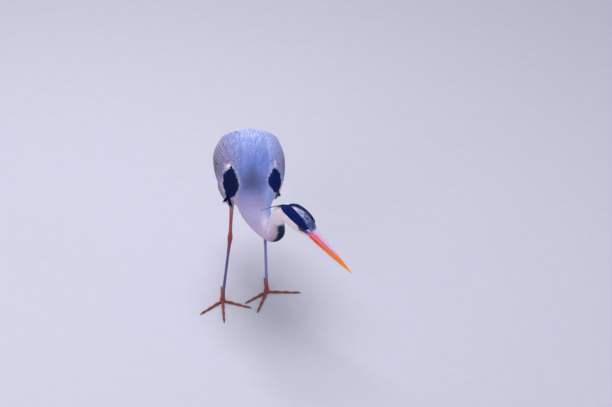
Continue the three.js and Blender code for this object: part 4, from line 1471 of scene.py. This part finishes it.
def vane_colour(name):
    """The wing's colours, with slaty primaries and secondaries."""
    def colour(kind, s, degrees):
        base = body_colour(s, degrees)
        if kind == "primaries":
            return blend(base, SLATE, np.full(s.shape, 0.95))
        if kind == "secondaries":
            return blend(base, SLATE, 0.25 + ease(58, 90, degrees) * 0.65)
        return blend(wing_colour(name, s, degrees), SLATE, 0.3 * ease(74, 92, degrees))

    return colour


for name, side in SIDES.items():
    tiers(
        f"vanes_{name}", wing(side), TRUNK_SCALE, BROAD, WING_ROWS, vane_colour(name),
        FLIGHT_FEATHERS, "plumage_grey", f"wing_{name}",
    )

# %% [markdown]
# Small soft feathers cover the wing's front edge. At its bend sit a ragged black patch and a
# white tuft. Paint alone would leave the patch flat, so it has feathers of its own, which lie
# downwards and stand a little higher than those round it.

# %% Small feathers over the front of each wing
WING_LOOK = look_of(
    "wing", 15, 7.4, 2.9, thick=0.15, vary=0.09, rim=0.6, reach=6, yaw=0.1,
    grow=lambda s, degrees: 0.7 + 0.3 * ease(1.2, 2.2, s),
    keep=lambda spots, s: (in_patch(spots) < 0.5) | (s > 2.2),
)
for name, side in SIDES.items():
    roots = rows_of_roots(wing(side), 0.9, 2.8, 5.2, 4.2, around=(30, 126))
    s, degrees = roots.T
    bare = (degrees > read(WING_TOP, s) - 2) & (degrees < read(WING_FOOT, s))
    coat(f"coat_wing_{name}", wing(side), roots[bare], WING_LOOK, BODY_FEATHERS, "plumage_grey")

# %% The black patches and white tufts at the bends of the wings
PATCH_LOOK = look_of(
    "wing", 10, 4.4, 4.2, thick=0.2, vary=0.12, way=(0.008, 1), reach=12, yaw=0.12
)
TUFT_LOOK = {
    **PATCH_LOOK, "length": 6, "width": 1.6, "lift": 5.0, "way": (0.03, 0.5), "outline": LANCE_TIP,
}
PATCH_TONE = {"right": BLACK, "left": blend(BLACK, NAVY, 0.6)}
TUFT_TONE = {"right": SNOW, "left": blend(SNOW, LILAC, 0.6)}


def of_patch(name):
    """Keeps the feathers that show inside the black patch."""
    return lambda spots, s: (in_patch(spots) > 0.5) & (s < PATCH_END[name])


def of_tuft(name):
    """Keeps the feathers that show near the middle of the white tuft."""
    return lambda spots, s: (around(spots, *WHITE_TUFT[name]) > 0.4) & (s < 2.3)


for name, side in SIDES.items():
    roots = rows_of_roots(wing(side), 0.4, 2.2, 2.2, 2.3, around=(28, 122))
    coat(
        f"patch_{name}", wing(side), roots, {**PATCH_LOOK, "keep": of_patch(name)},
        BLACK_FEATHERS, "plumage_black", tone=all_of(PATCH_TONE[name]),
    )
    roots = rows_of_roots(wing(side), 1.2, 2.2, 1.5, 1.2, around=(28, 75))
    coat(
        f"tuft_{name}", wing(side), roots, {**TUFT_LOOK, "keep": of_tuft(name)}, FINE_FEATHERS,
        "plumage_white", tone=all_of(TUFT_TONE[name]),
    )

# %% [markdown]
# Twelve blunt feathers make the tail, stepped down from the middle. Soft coverts close the gap
# between them and the trunk.

# %% The tail
TAIL = {
    "pairs": 6, "half": 8, "level": 1.1, "root": 3, "tip": 4.3, "start": 7.05, "end": 9.02,
    "thick": 0.4, "arch": 0.3,
}
points, roots = [], []
for place in np.arange(2 * TAIL["pairs"]) + 0.5 - TAIL["pairs"]:
    level = (TAIL["pairs"] / 2 - abs(place)) * TAIL["level"] + (0 if place > 0 else -0.4)
    wide = read(BROAD_TIP, BROAD.share) * BROAD.across
    station = TAIL["start"] + (TAIL["end"] - 0.02 * abs(place) - TAIL["start"]) * BROAD.share
    out = place * (TAIL["root"] + (TAIL["tip"] - TAIL["root"]) * BROAD.share) + wide * TAIL["half"]
    rise = level + BROAD.up * TAIL["thick"] - TAIL["arch"] * wide**2
    points.append(settled(tail(station, out, rise)))
    roots.append((TAIL["start"], place))
tail_tone = blend(MANTLE, SLATE, np.tile(0.25 + 0.6 * BROAD.share, (len(points), 1)))
joined_feathers(
    "tail_feathers", BROAD, np.array(points), tail_tone, spread(*np.array(roots).T),
    FLIGHT_FEATHERS, "plumage_grey", "tail",
)

# %% Coverts above and below the root of the tail
TAIL_COVERT = {**VANE, "tilt": 0.3, "arch": 0.2, "jitter": 1.5, "outline": PLUME_TIP}
ABOVE = [(0, -3), (0.15, 3), (0.5, -1), (1, -8)]
BELOW = [(0, -4), (0.15, 0.5), (0.5, -1.5), (1, -6.5)]
COVERT_ROWS = [
    (kind, {**TAIL_COVERT, "count": 15 - 2 * row, "half": 5, "rise": rise},
     ((6.6 + 0.35 * row, middle - 60), (6.6 + 0.35 * row, middle + 60)),
     ((8.0 + 0.3 * row, middle - 42), (8.0 + 0.3 * row, middle + 42)))
    for kind, middle, rise in (("above", 0, ABOVE), ("below", 180, BELOW))
    for row in (1, 0, -1)
]
tiers(
    "coverts_tail", trunk, TRUNK_SCALE, LONG, COVERT_ROWS,
    lambda kind, s, degrees: blend(
        MANTLE if kind == "above" else UNDERSIDE, PALE, np.full(s.shape, 0.3)
    ),
    PLUME_FEATHERS, "plumage_grey",
)

# %% [markdown]
# ## Crest and breast plumes
# The crest is a band of long black feathers on each side of the crown, with thin plumes that hang
# behind the nape. Long loose plumes hang from the foot of the neck over the breast.

# %% The crest
CREST = {
    **VANE, "half": 1.9, "tilt": 0.3, "thick": 0.22, "outline": LANCE_TIP, "jitter": 0.5,
    "arch": 0.15, "vary": 0.15, "count": 15,
}
# The band's tiers on each side: how much they lift, and the lines of their roots and tips.
CREST_ROWS = {
    "right": [
        (0.2, ((0.78, 53), (0.74, 64)), ((0.52, 38), (0.5, 73))),
        (0.3, ((0.64, 45), (0.62, 70)), ((0.36, 27), (0.34, 68))),
        (0.4, ((0.5, 36), (0.46, 72)), ((0.2, 23), (0.18, 64))),
        (0.5, ((0.36, 27), (0.3, 68)), ((0.06, 20), (0.04, 60))),
        (0.5, ((0.24, 24), (0.18, 64)), ((0.0, 20), (0.0, 46))),
    ],
    "left": [
        (0.2, ((0.78, 40), (0.74, 64)), ((0.52, 18), (0.5, 72))),
        (0.3, ((0.64, 22), (0.62, 70)), ((0.4, 14), (0.36, 60))),
        (0.4, ((0.5, 17), (0.46, 66)), ((0.27, 0), (0.27, 24))),
        (0.5, ((0.38, 13), (0.34, 42)), ((0.14, -20), (0.16, -6))),
    ],
}
# The plumes of both sides lie together along one line behind the nape, in the head's own axes.
CREST_LINE = [(-68, -5, -9), (-74, -3, -26), (-80.5, -1.5, -42), (-90, 0, -73)]
# Each plume's share of that line and how far aside it hangs, and where it roots on the crown.
CREST_FANS = [
    (1, 0), (0.95, 0.3), (0.85, -0.3), (0.75, 0.7), (0.65, -0.7), (0.55, 1), (0.45, -1),
    (0.35, 1.5), (0.25, -1.5),
]
CREST_AT = {"right": (-34, 10), "left": (-16, 4)}


def raised(points, least):
    """Points in metres, moved out of the skin where they are nearer to it than the least height."""
    out = points.reshape(-1, 3).copy()
    for index, point in enumerate(out):
        spot, normal, _, _ = skin_faces.find_nearest(point)
        short = least * MM - (Vector(point) - spot).dot(normal)
        if short > 0:
            out[index] = Vector(point) + normal * short
    return out.reshape(points.shape)


def strand(line, across, half, thick):
    """A plume along a smooth line through points, lying flat across a given way."""
    curve = Curve(line)
    centre, way = curve(LONG.share), curve.way(LONG.share)
    side = unit(across - way * (way @ across)[:, None])
    wide = half * read(LANCE_TIP, LONG.share) * LONG.across
    return centre + side * wide[:, None] + np.cross(side, way) * (LONG.up * thick)[:, None]


def in_a_row(made, margin):
    """Places on the bake map for some feathers, side by side."""
    return np.stack([np.linspace(margin, 1 - margin, len(made)), np.full(len(made), 0.5)], -1)


def joined_strands(name, made, tone, places, material, slot="plumage_black"):
    """One piece of strands, with one tone, or one for each."""
    tones = np.ones((*made.shape[:2], 1)) * tone
    joined_feathers(name, LONG, made, tones, places, material, slot)


def head_point(place, degrees, rise):
    """A point of the head in its own axes."""
    return to_head(head(np.array([place]), np.array([degrees]), rise)[0])


def head_side(side):
    """The outside of the head as a surface whose angles run from the crown down one side."""
    return lambda place, degrees, rise=0.0: head(place, side * np.asarray(degrees), rise)


for name, side in SIDES.items():
    rows = [
        ("band", {**CREST, "rise": [(0, 0.2), (0.15, 2.2), (1, 2.2 + lift)]}, root, tip)
        for lift, root, tip in CREST_ROWS[name]
    ]
    tiers(
        f"crest_{name}_band", head_side(side), HEAD_SCALE, LONG, rows,
        lambda kind, place, degrees: np.tile(NAVY, (*place.shape, 1)), BLACK_FEATHERS,
        "plumage_black", f"crest_{name}",
    )
    strands = []
    for share, fan in CREST_FANS:
        angle, spread_out = CREST_AT[name]
        angle = angle + spread_out * fan
        line = [head_point(0.22, angle, 1.6), head_point(0.09, angle - 4, 1.9)]
        aside = np.array([0, 0.6 * side + fan, 0])
        line += [Curve(CREST_LINE)(share * step) + aside for step in (0.12, 0.4, 0.7, 1)]
        strands.append(strand(line, np.array([0.2, 1, 0]), 1.5, 0.5))
    made = raised(settled(from_head(np.array(strands))), 2.2)
    joined_strands(f"crest_{name}_plumes", made, NAVY * 0.8, in_a_row(made, 0.1), BLACK_FEATHERS)

# %% Plumes of the breast
# Three rows that root on the front of the neck, and the heights and depth that their tips reach.
BREAST = {"starts": (0.2, 0.15, 0.1), "count": 15, "fan": 26, "black": 0.16}
BREAST_TIP = {"low": 233, "back": -40, "spread": 17, "rise": 6, "sag": 4, "row": 9}
plumes, tones = [], []
for row, start in enumerate(BREAST["starts"]):
    for place in np.linspace(-1, 1, BREAST["count"]):
        root = neck(np.array([start]), np.array([180 + BREAST["fan"] * place]), -1.5)[0]
        tip = np.array([
            -place * BREAST_TIP["spread"],
            BREAST_TIP["back"] + BREAST_TIP["row"] * row + chance.normal(0, 3),
            BREAST_TIP["low"] + BREAST_TIP["rise"] * abs(place) + row,
        ])
        middle = (root + tip) / 2 - np.array([0, 0, BREAST_TIP["sag"] * (1 - 0.3 * row)])
        plumes.append(strand([root, middle, tip], np.array([1.0, 0.2, 0]), 3.4, 0.3))
        is_black = chance.random() < BREAST["black"]
        tones.append(BLACK if is_black else blend(WHITE, NAPE, 0.3 * row))
made, row = settled(np.array(plumes)), np.linspace(0.05, 0.95, BREAST["count"])
places = np.stack([np.tile(row, 3), np.repeat([0.2, 0.5, 0.8], len(row))], -1)
joined_strands(
    "breast_plumes", made, np.array(tones)[:, None, :], places, PLUME_FEATHERS, "plumage_white"
)

# %% [markdown]
# A forked tassel of loose black strands hangs below each patch. The strands are curves with a
# flat section, which are laid through a few points and moved clear of the skin.

# %% The tassels below the black patches
# Where the strands hang to from their roots, and how many. The left ones are smaller and greyer.
TASSEL = [((-11, 7, -20), 13), ((8, -2, -26), 11)]
TASSEL_ROOT = {"right": (1.4, 97.0, 106.0), "left": (1.16, 86.0, 95.0)}
TASSEL_SIZE = {"right": 1.0, "left": 0.6}
TASSEL_TONE = {"right": BLACK, "left": blend(BLACK, SIDE, 0.3)}
for name, side in SIDES.items():
    strands = []
    station, upper, lower = TASSEL_ROOT[name]
    for hang, count in TASSEL:
        for place in np.linspace(-1, 1, count):
            where = station + 0.07 * place + np.array([-0.06, 0.06])
            top = wing(side)(where, np.array([upper, lower]), 1.5)
            drop = np.array(hang) * [-side, 1, 1] * chance.uniform(0.75, 1.05)
            drop = (drop + chance.normal(0, 1.3, 3)) * TASSEL_SIZE[name]
            line = [*top, top[1] + drop * 0.5, top[1] + drop]
            strands.append(strand(line, np.array([1.0, 0.3, 0]), 2.2, 0.4))
    made = raised(settled(np.array(strands)), 3.0)
    joined_strands(f"tassel_{name}", made, TASSEL_TONE[name], in_a_row(made, 0.05), BLACK_FEATHERS)

# %% [markdown]
# ## The bill
# The bill is a long dagger of smooth horn: pink along its upper edge near the face, red along the
# line of the mouth, then orange, and yellow at the tip. A cone would be too plain: each half is a
# rolled grid with a flat inner face, and a shallow groove runs forward from each nostril's slit.

# %% The bill
BILL = {
    "base": 26, "length": 122, "half": 10.4, "culmen": 11, "gape": -5.5, "keel": -17.0,
    "tip": -4.5, "sunk": 1.5,
}
NOSTRIL = {"x": 38, "up": 3, "long": 7.5, "high": 1.1, "deep": 1.5}
BILL_ORANGE, BILL_YELLOW, GAPE = shade("#ff8208"), shade("#fab02c"), shade("#ecdcc4")
# Bands along the side of the bill, from the keel at -1 by the line of the mouth to the culmen.
# The pale, whitish bands nearest the culmen are a painted highlight.
BILL_BANDS = [
    (place, shade(code)) for place, code in (
        (-1, "#f4b890"), (-0.6, "#ff8040"), (-0.15, "#ff5c22"), (0, "#d83018"), (0.2, "#fa4a30"),
        (0.36, "#f88a80"), (0.5, "#f47ea4"), (0.68, "#f05496"), (0.82, "#f0a8cc"), (1, "#e6c4e0"),
    )
]


def along_bill(x):
    """The share of the bill's length at x, and the height of the line of the mouth there."""
    t = np.clip((x - BILL["base"]) / BILL["length"], 0, 1)
    return t, BILL["gape"] + (BILL["tip"] - BILL["gape"]) * t


def bill_edge(upper, t):
    """The height of the culmen or of the keel, at a share of the bill's length."""
    far, away, bend = (BILL["culmen"], 0.9, 1.4) if upper else (BILL["keel"], -0.9, 1.65)
    return far + (BILL["tip"] + away - far) * t**bend


def mandible(upper):
    """Half of the bill, as a surface: half of the turn is its outside, the rest its inner face."""
    def surface(place, degrees):
        x = BILL["base"] - BILL["sunk"] + place * (BILL["length"] + BILL["sunk"])
        t, line = along_bill(x)
        half = BILL["half"] * (1 - t) ** 0.75 * (1 - 0.2 * np.sin(np.pi * t)) + 0.35
        inner, outer = line + (0.12 if upper else -0.12), bill_edge(upper, t)
        outside = degrees <= 180
        a = np.radians(np.where(outside, degrees, 0))
        roof = np.sin(a) ** 0.85
        across = np.where(outside, half * np.cos(a), half * (degrees - 270) / 90)
        up = np.where(outside, inner + (outer - inner) * roof, inner)
        if upper:
            groove = np.exp(-(((up - 3.2 + 7 * t) / 1.6) ** 2)) * (1 - ease(0.45, 0.62, t))
            ahead = (x - NOSTRIL["x"]) / NOSTRIL["long"]
            slit = 1 - ease(0.7, 1.1, np.hypot(ahead, (up - NOSTRIL["up"]) / NOSTRIL["high"]))
            dent = 0.55 * groove + NOSTRIL["deep"] * slit
            across = across - np.sign(across) * dent * outside
        return from_head(np.stack([x, across, up], -1))

    return surface


def bill_colour(spots):
    """Pink above near the face, red at the line of the mouth, then orange and yellow."""
    x, _, up = spots.T
    t, line = along_bill(x)
    height = np.clip((up - line) / np.maximum(bill_edge(True, t) - line, 0.5), -1.5, 1)
    return laid(
        read(BILL_BANDS, height),
        (CREAM, (1 - ease(0.04, 0.16, t)) * ease(0.1, 0.4, -height)),
        (BILL_ORANGE, ease(0.09, 0.52, t - 0.24 * height)),
        (BILL_YELLOW, ease(0.66, 0.98, t)),
    )


HORN = grained_material(
    "bill horn", (160.0, 5.0), 0.86, 0.28, (0.12, 0.0005), 0.38, Coat_Weight=0.15,
    Coat_Roughness=0.3,
)
for upper, name in ((True, "upper"), (False, "lower")):
    piece = tube(mandible(upper), 150, 72)
    paint(piece, bill_colour(to_head(unsettled(coordinates(piece)))))
    alone(piece)
    bpy.ops.object.shade_smooth_by_angle(angle=math.radians(50))
    finished(piece, f"bill_{name}_horn", HORN, "bill_horn", f"bill_{name}")

# %% [markdown]
# ## Eyes, lids and the corner of the mouth
# Each eye is a glossy ball with a dark pupil in a thin amber ring. A picture could be laid on it,
# but a ball's rings of vertices can be painted as pupil and iris, once its pole is turned to face
# out. A lid is a ring that is drawn out to a point in front.

# %% The eyes
IRIS_INNER, IRIS_OUTER, PUPIL = shade("#7c3c14"), shade("#2c1208"), shade("#040306")
# Where iris and dark rim begin, in degrees off the middle of the eye.
PUPIL_ENDS, IRIS_DARKENS, IRIS_ENDS = (27, 29), (30, 37), (37, 41)
BULGE, BULGE_WIDTH = 0.05, 34
LID_SKIN = shade("#23263c")
EYE_GLOSS = grained_material(
    "wet eye", (900.0, 3.0), 0.7, 0.6, None, 0.16, Coat_Weight=0.25, Coat_Roughness=0.03
)
BARE_SKIN = grained_material(
    "bare skin", (900.0, 4.0), 0.7, 0.6, (0.4, 0.0004), 0.5, Specular_IOR_Level=0.4
)


def placed(piece, matrix):
    """Moves a piece made at the origin in millimetres to its place on the head."""
    points = np.c_[coordinates(piece), np.ones(len(piece.data.vertices))]
    set_coordinates(piece, settled(from_head((points @ np.array(matrix).T)[:, :3])))


def eyeball(name, side):
    """A ball with its pole turned out, painted ring by ring, which bulges over the pupil."""
    look_way = Vector((0.10, side * 0.985, -0.10)).normalized()
    turn = look_way.to_track_quat("Z", "Y").to_matrix().to_4x4()
    bpy.ops.object.select_all(action="DESELECT")
    bpy.ops.mesh.primitive_uv_sphere_add(segments=40, ring_count=36, radius=EYE["radius"])
    ball = bpy.context.object
    bpy.ops.object.shade_smooth()
    points = coordinates(ball)
    off_axis = np.degrees(np.arccos(np.clip(points[:, 2] / EYE["radius"], -1, 1)))
    rings = ((IRIS_INNER, PUPIL_ENDS), (IRIS_OUTER, IRIS_DARKENS), (PUPIL, IRIS_ENDS))
    paint(ball, laid(PUPIL, *[(tone, ease(*span, off_axis)) for tone, span in rings]))
    bulge = 1 + BULGE * np.exp(-((off_axis / BULGE_WIDTH) ** 2))
    set_coordinates(ball, points * bulge[:, None])
    placed(ball, Matrix.Translation((0, side * EYE["out"], EYE["up"])) @ turn)
    finished(ball, f"eyeball_{name}", EYE_GLOSS, "iris", f"eye_{name}")

# %% The lids
LID = {"ring": 6.1, "thick": 1.25, "out": 5, "tilt": 8}


def eyelid(name, side):
    """A ring round the eye, narrowed and drawn out to a point in front."""
    bpy.ops.object.select_all(action="DESELECT")
    bpy.ops.mesh.primitive_torus_add(
        major_segments=64, minor_segments=16, major_radius=LID["ring"], minor_radius=LID["thick"]
    )
    lid = bpy.context.object
    bpy.ops.object.shade_smooth()
    points = coordinates(lid)
    points[:, 0] *= 1.12 + 0.16 * ease(3, 7, points[:, 0])
    points[:, 1] *= 0.93 - 0.3 * ease(4, 8, points[:, 0])
    set_coordinates(lid, points)
    lid_turn = Matrix.Rotation(math.radians(90 - LID["tilt"] * side), 4, "X")
    placed(lid, Matrix.Translation((0, side * (EYE["out"] + LID["out"]), EYE["up"])) @ lid_turn)
    paint(lid, np.tile(LID_SKIN, (len(points), 1)))
    finished(lid, f"lid_{name}", BARE_SKIN, "leg_skin")


for name, side in SIDES.items():
    eyeball(name, side)
    eyelid(name, side)

# %% The corners of the mouth
def limb(line, radii, top):
    """A round limb through points, with a radius at each, as a surface. Top is where it faces."""
    line = np.array(line, float)
    step = np.linalg.norm(np.diff(line, axis=0), axis=1)
    reach = np.concatenate([[0], np.cumsum(step)])
    top = np.array(top, float)

    def centre(along):
        return read(list(zip(reach, line)), along)

    def surface(place, degrees, rise=0.0):
        along, a = np.asarray(place) * reach[-1], np.radians(degrees)
        tiny = 0.02 * reach[-1]
        ahead, behind = np.minimum(along + tiny, reach[-1]), np.maximum(along - tiny, 0)
        way = unit(centre(ahead) - centre(behind))
        side = unit(np.cross(way, top))
        radius = np.interp(along, reach, radii) + rise
        out = side * np.sin(a)[:, None] + np.cross(side, way) * np.cos(a)[:, None]
        return centre(along) + out * radius[:, None]

    return surface


GAPE_SPAN = (2, 27)  # from the corner of the mouth to the bill's base, along the bill's axis
for name, side in SIDES.items():
    line, radii = [], []
    for x in np.linspace(*GAPE_SPAN, 12):
        shares = np.linspace(0, 1, 200)
        place = np.interp(x, HEAD_X(shares)[:, 0], shares)
        _, crown, chin = HEAD_LINE(place)
        up = (mouth_height(x) - (crown + chin) / 2) / ((crown - chin) / 2)
        angle = math.degrees(math.acos(up))
        line.append(head_side(side)(np.array([place]), np.array([angle]), -0.4)[0])
        radii.append(0.2 + 0.5 * min(1, (x - GAPE_SPAN[0]) / 8))
    lip = tube(limb(line, radii, HEAD_UP), 40, 12)
    paint(lip, np.tile(GAPE, (len(lip.data.vertices), 1)))
    finished(joined([lip]), f"gape_{name}", BARE_SKIN, "bill_horn")

# %% [markdown]
# ## Legs and feet
# The bare legs are tubes for shin, shank and toes, joined and remeshed into one skin for each
# leg. Plates of horn, the scutes, run down the front of the shank and along the toes. Each could
# be modelled, but at this size it is enough to press the grooves between them into the skin.

# %% The legs
TOES = {
    "inner": {"long": 61, "left": -50, "right": 62, "claw": 12},
    "middle": {"long": 79, "left": -20, "right": -4, "claw": 14},
    "outer": {"long": 68, "left": 86, "right": -46, "claw": 12},
    "hind": {"long": 50, "left": 178, "right": 176, "claw": 19},
}
ANKLE, TOE_ROOT, TOE_TIP, KNUCKLE = 11, 3.7, 2.4, 0.45  # a height, two radii and a swelling
SCUTE, TOE_SCUTE, GROOVE = 3.6, 2.88, 0.3  # lengths of a scute, and the depth between two
MARKS = np.linspace(0, 1, 500)  # shares of a leg's or toe's length where its scutes are read
LEG_TOP, SHIN_RED, HOCK_BROWN = shade("#9c7f70"), shade("#a84f5c"), shade("#90403e")
# The left shank's bluer tone here is painted sky light.
SHANK, SHANK_LEFT_SKY_LIT, TOE_RED = shade("#625792"), shade("#7c82c2"), shade("#8a4236")


def toe_point(name, which, distance, lift):
    """A point of a toe at a distance from the ankle, at a height."""
    x, y = LEGS[name]["foot"]
    a = math.radians(TOES[which][name])
    return np.array([x + distance * math.sin(a), y - distance * math.cos(a), lift])


def toe_line(name, which, start):
    """Points along a toe and its radius at each, from a distance off the ankle to its end."""
    distances = np.linspace(start, TOES[which]["long"], 24)
    share = distances / TOES[which]["long"]
    radii = TOE_ROOT + (TOE_TIP - TOE_ROOT) * share + KNUCKLE * np.cos(share * 6 * math.pi)
    return [toe_point(name, which, d, r * 0.8) for d, r in zip(distances, radii)], radii


def leg_line(name):
    """The leg's middle line from inside the thigh's feathers to the ankle, and its radii."""
    knee, shin, hock = (np.array(LEGS[name][joint], float) for joint in ("knee", "shin", "hock"))
    ankle = np.array([*LEGS[name]["foot"], ANKLE], float)
    upper = [(shin + (hock - shin) * t, r) for t, r in [
        (0, 5.6), (0.15, 4.6), (0.35, 4.0), (0.6, 3.8), (0.8, 4.1), (0.9, 5.2), (0.97, 5.9),
    ]]
    lower = [(hock + (ankle - hock) * t, r) for t, r in [
        (0.02, 5.8), (0.06, 4.9), (0.12, 3.9), (0.3, 3.3), (0.6, 3.25), (0.85, 3.6), (0.94, 4.3),
        (1, 5.6),
    ]]
    rows = [(shin + (knee - shin) * 0.14, 5.6), *upper, *lower, (ankle - [0, 0, 8], 6.6)]
    return [point for point, _ in rows], [radius for _, radius in rows]


def leg_colour(name, spots, on_toe):
    """The leg's colour by height: cream at the feathers, red, brown at the hock, then mauve."""
    z = spots[:, 2]
    return laid(
        TOE_RED,
        # Painted sky light makes the left shank bluer.
        (SHANK_LEFT_SKY_LIT if name == "left" else SHANK, ease(14, 60, z)),
        (HOCK_BROWN, ease(110, 148, z)),
        (SHIN_RED, ease(158, 176, z)),
        (LEG_TOP, ease(206, 228, z)),
        (TOE_RED, on_toe),
    )


def leg_runs(name):
    """Shank and toes: line, radii, front and cuts, and the scutes and redness at the marks."""
    line, radii = leg_line(name)
    long = np.linalg.norm(np.diff(line, axis=0), axis=1).sum()
    yield line, radii, (0, -1, 0), (150, 20), MARKS * long / SCUTE, 0 * MARKS
    for which, toe in TOES.items():
        out = MARKS * toe["long"]
        yield *toe_line(name, which, 1.0), (0, 0, 1), (60, 16), out / TOE_SCUTE, ease(4, 12, out)


def above_floor(points):
    """Lifts the points that lie under the floor up to it."""
    points[:, 2] = np.maximum(points[:, 2], 0)
    return points

# %% Grooves between the scutes
def grooved(leg, name, runs):
    """Presses grooves into the front of a leg and the top of its toes, and paints it."""
    lines, _, fronts, _, scutes, redness = zip(*runs)
    spines = [
        limb(line, np.zeros(len(line)), front)(MARKS, 0 * MARKS)
        for line, front in zip(lines, fronts)
    ]
    points = coordinates(leg)
    normals = np.empty(len(points) * 3, np.float32)
    leg.data.vertices.foreach_get("normal", normals)
    normals = normals.reshape(-1, 3)
    nearest = tree_of(settled(np.vstack(spines)))
    found = np.array([nearest.find(point)[1] for point in points])
    facing = (normals * np.repeat(np.array(fronts, float), len(MARKS), axis=0)[found]).sum(1)
    off_groove = np.concatenate(scutes)[found] % 1 - 0.5
    dent = np.exp(-((off_groove / 0.13) ** 2)) * ease(-0.3, 0.3, facing)
    points = above_floor(points - normals * (dent * GROOVE * MM)[:, None])
    set_coordinates(leg, points)
    tone = leg_colour(name, unsettled(points), np.concatenate(redness)[found])
    # The grooves are darkened with painted shade.
    paint(leg, tone * (1 - 0.35 * dent)[:, None])


for name in SIDES:
    runs = list(leg_runs(name))
    leg = joined([tube(limb(*run[:3]), *run[3]) for run in runs])
    apply_modifier(leg, "REMESH", mode="VOXEL", voxel_size=0.00085)
    apply_modifier(leg, "SMOOTH", factor=0.5, iterations=5)
    grooved(leg, name, runs)
    leg = joined([leg])
    finished(
        leg, f"leg_{name}", BARE_SKIN, "leg_skin", f"shin_{name}", f"tarsus_{name}", f"foot_{name}",
        *[f"toe_{name}_{which}" for which in TOES],
    )

# %% The claws
CLAW_ROOT, CLAW_TIP = shade("#4a3b3c"), shade("#14110f")
CLAW = {"sunk": 1.5, "half": 2.0, "point": 0.15}
CLAW_HORN = grained_material(
    "claw horn", (700.0, 4.0), 0.6, 0.8, (0.15, 0.0003), 0.35, Coat_Weight=0.2, Coat_Roughness=0.2
)
for name in SIDES:
    parts = []
    for which, toe in TOES.items():
        shares, long = np.linspace(0, 1, 16), toe["claw"] + CLAW["sunk"]
        arch = 1 + 0.5 * np.sin(np.pi * shares)
        heights = CLAW["half"] * arch * (1 - 0.75 * shares**2) + CLAW["point"]
        line = [
            toe_point(name, which, toe["long"] - CLAW["sunk"] + long * t, z)
            for t, z in zip(shares, heights)
        ]
        radii = CLAW["half"] * (1 - shares) ** 0.7 + CLAW["point"]
        part = tube(limb(line, radii, (0, 0, 1)), 40, 16)
        points = above_floor(coordinates(part))
        set_coordinates(part, points)
        far = np.linalg.norm(unsettled(points) - line[0], axis=1) / long
        paint(part, blend(CLAW_ROOT, CLAW_TIP, ease(0, 0.7, far)))
        parts.append(part)
    replaced = [f"claw_{name}_{which}" for which in TOES]
    finished(joined(parts), f"claws_{name}", CLAW_HORN, "claw_horn", *replaced)

# %% [markdown]
# ## Stage and light
# A pale floor and a pale surround, with a broad soft light from above and behind, a softer one
# from the front, and a low fill. Area lights are chosen, because hard shadows would hide the form
# of so fine a coat.

# %% Stage and light
FLOOR, tree, shader = new_material("studio floor", 0.7)
tone = add_node(
    tree, "ShaderNodeMix",
    {0: object_noise(tree, 30.0), 6: (*shade("#c6c5d2"), 1), 7: (*shade("#c0bfcd"), 1)},
    data_type="RGBA",
)
tree.links.new(tone.outputs[2], shader.inputs["Base Color"])
bpy.ops.object.select_all(action="DESELECT")
bpy.ops.mesh.primitive_plane_add(size=14)
floor = bpy.context.object
floor.name = "floor"
floor.data.materials.append(FLOOR)
floor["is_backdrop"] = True

surround = bpy.data.worlds.new("surround")
bpy.context.scene.world = surround
surround.use_nodes = True
background = surround.node_tree.nodes["Background"]
background.inputs["Color"].default_value = (0.88, 0.88, 1.0, 1)
background.inputs["Strength"].default_value = 0.45


def soft_light(name, place, size, power, colour):
    """An area light that is aimed at the bird's middle."""
    bpy.ops.object.light_add(type="AREA", location=place)
    light = bpy.context.object
    light.name = name
    light.data.size = size
    light.data.energy = power
    light.data.color = colour
    aim = Vector((0, -0.05, 0.22)) - light.location
    light.rotation_euler = aim.to_track_quat("-Z", "Y").to_euler()
    print(name, "at", place)


soft_light("sky light", (-0.5, 0.9, 2.6), 1.6, 56, (0.97, 0.98, 1.0))
soft_light("front light", (-1.6, -2.4, 1.8), 1.6, 34, (1.0, 0.95, 0.96))
soft_light("side fill", (2.4, -1.2, 1.2), 1.8, 14, (0.85, 0.9, 1.0))
bpy.context.scene.view_settings.view_transform = "Standard"

# %% [markdown]
# ## Measure and finish
# The sizes of the solids and of the dressed bird are written side by side.

# %% Measure and finish
boxes = {"cad": CAD_BOX, "visual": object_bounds()}
{key: [list(corner) for corner in box] for key, box in boxes.items()}
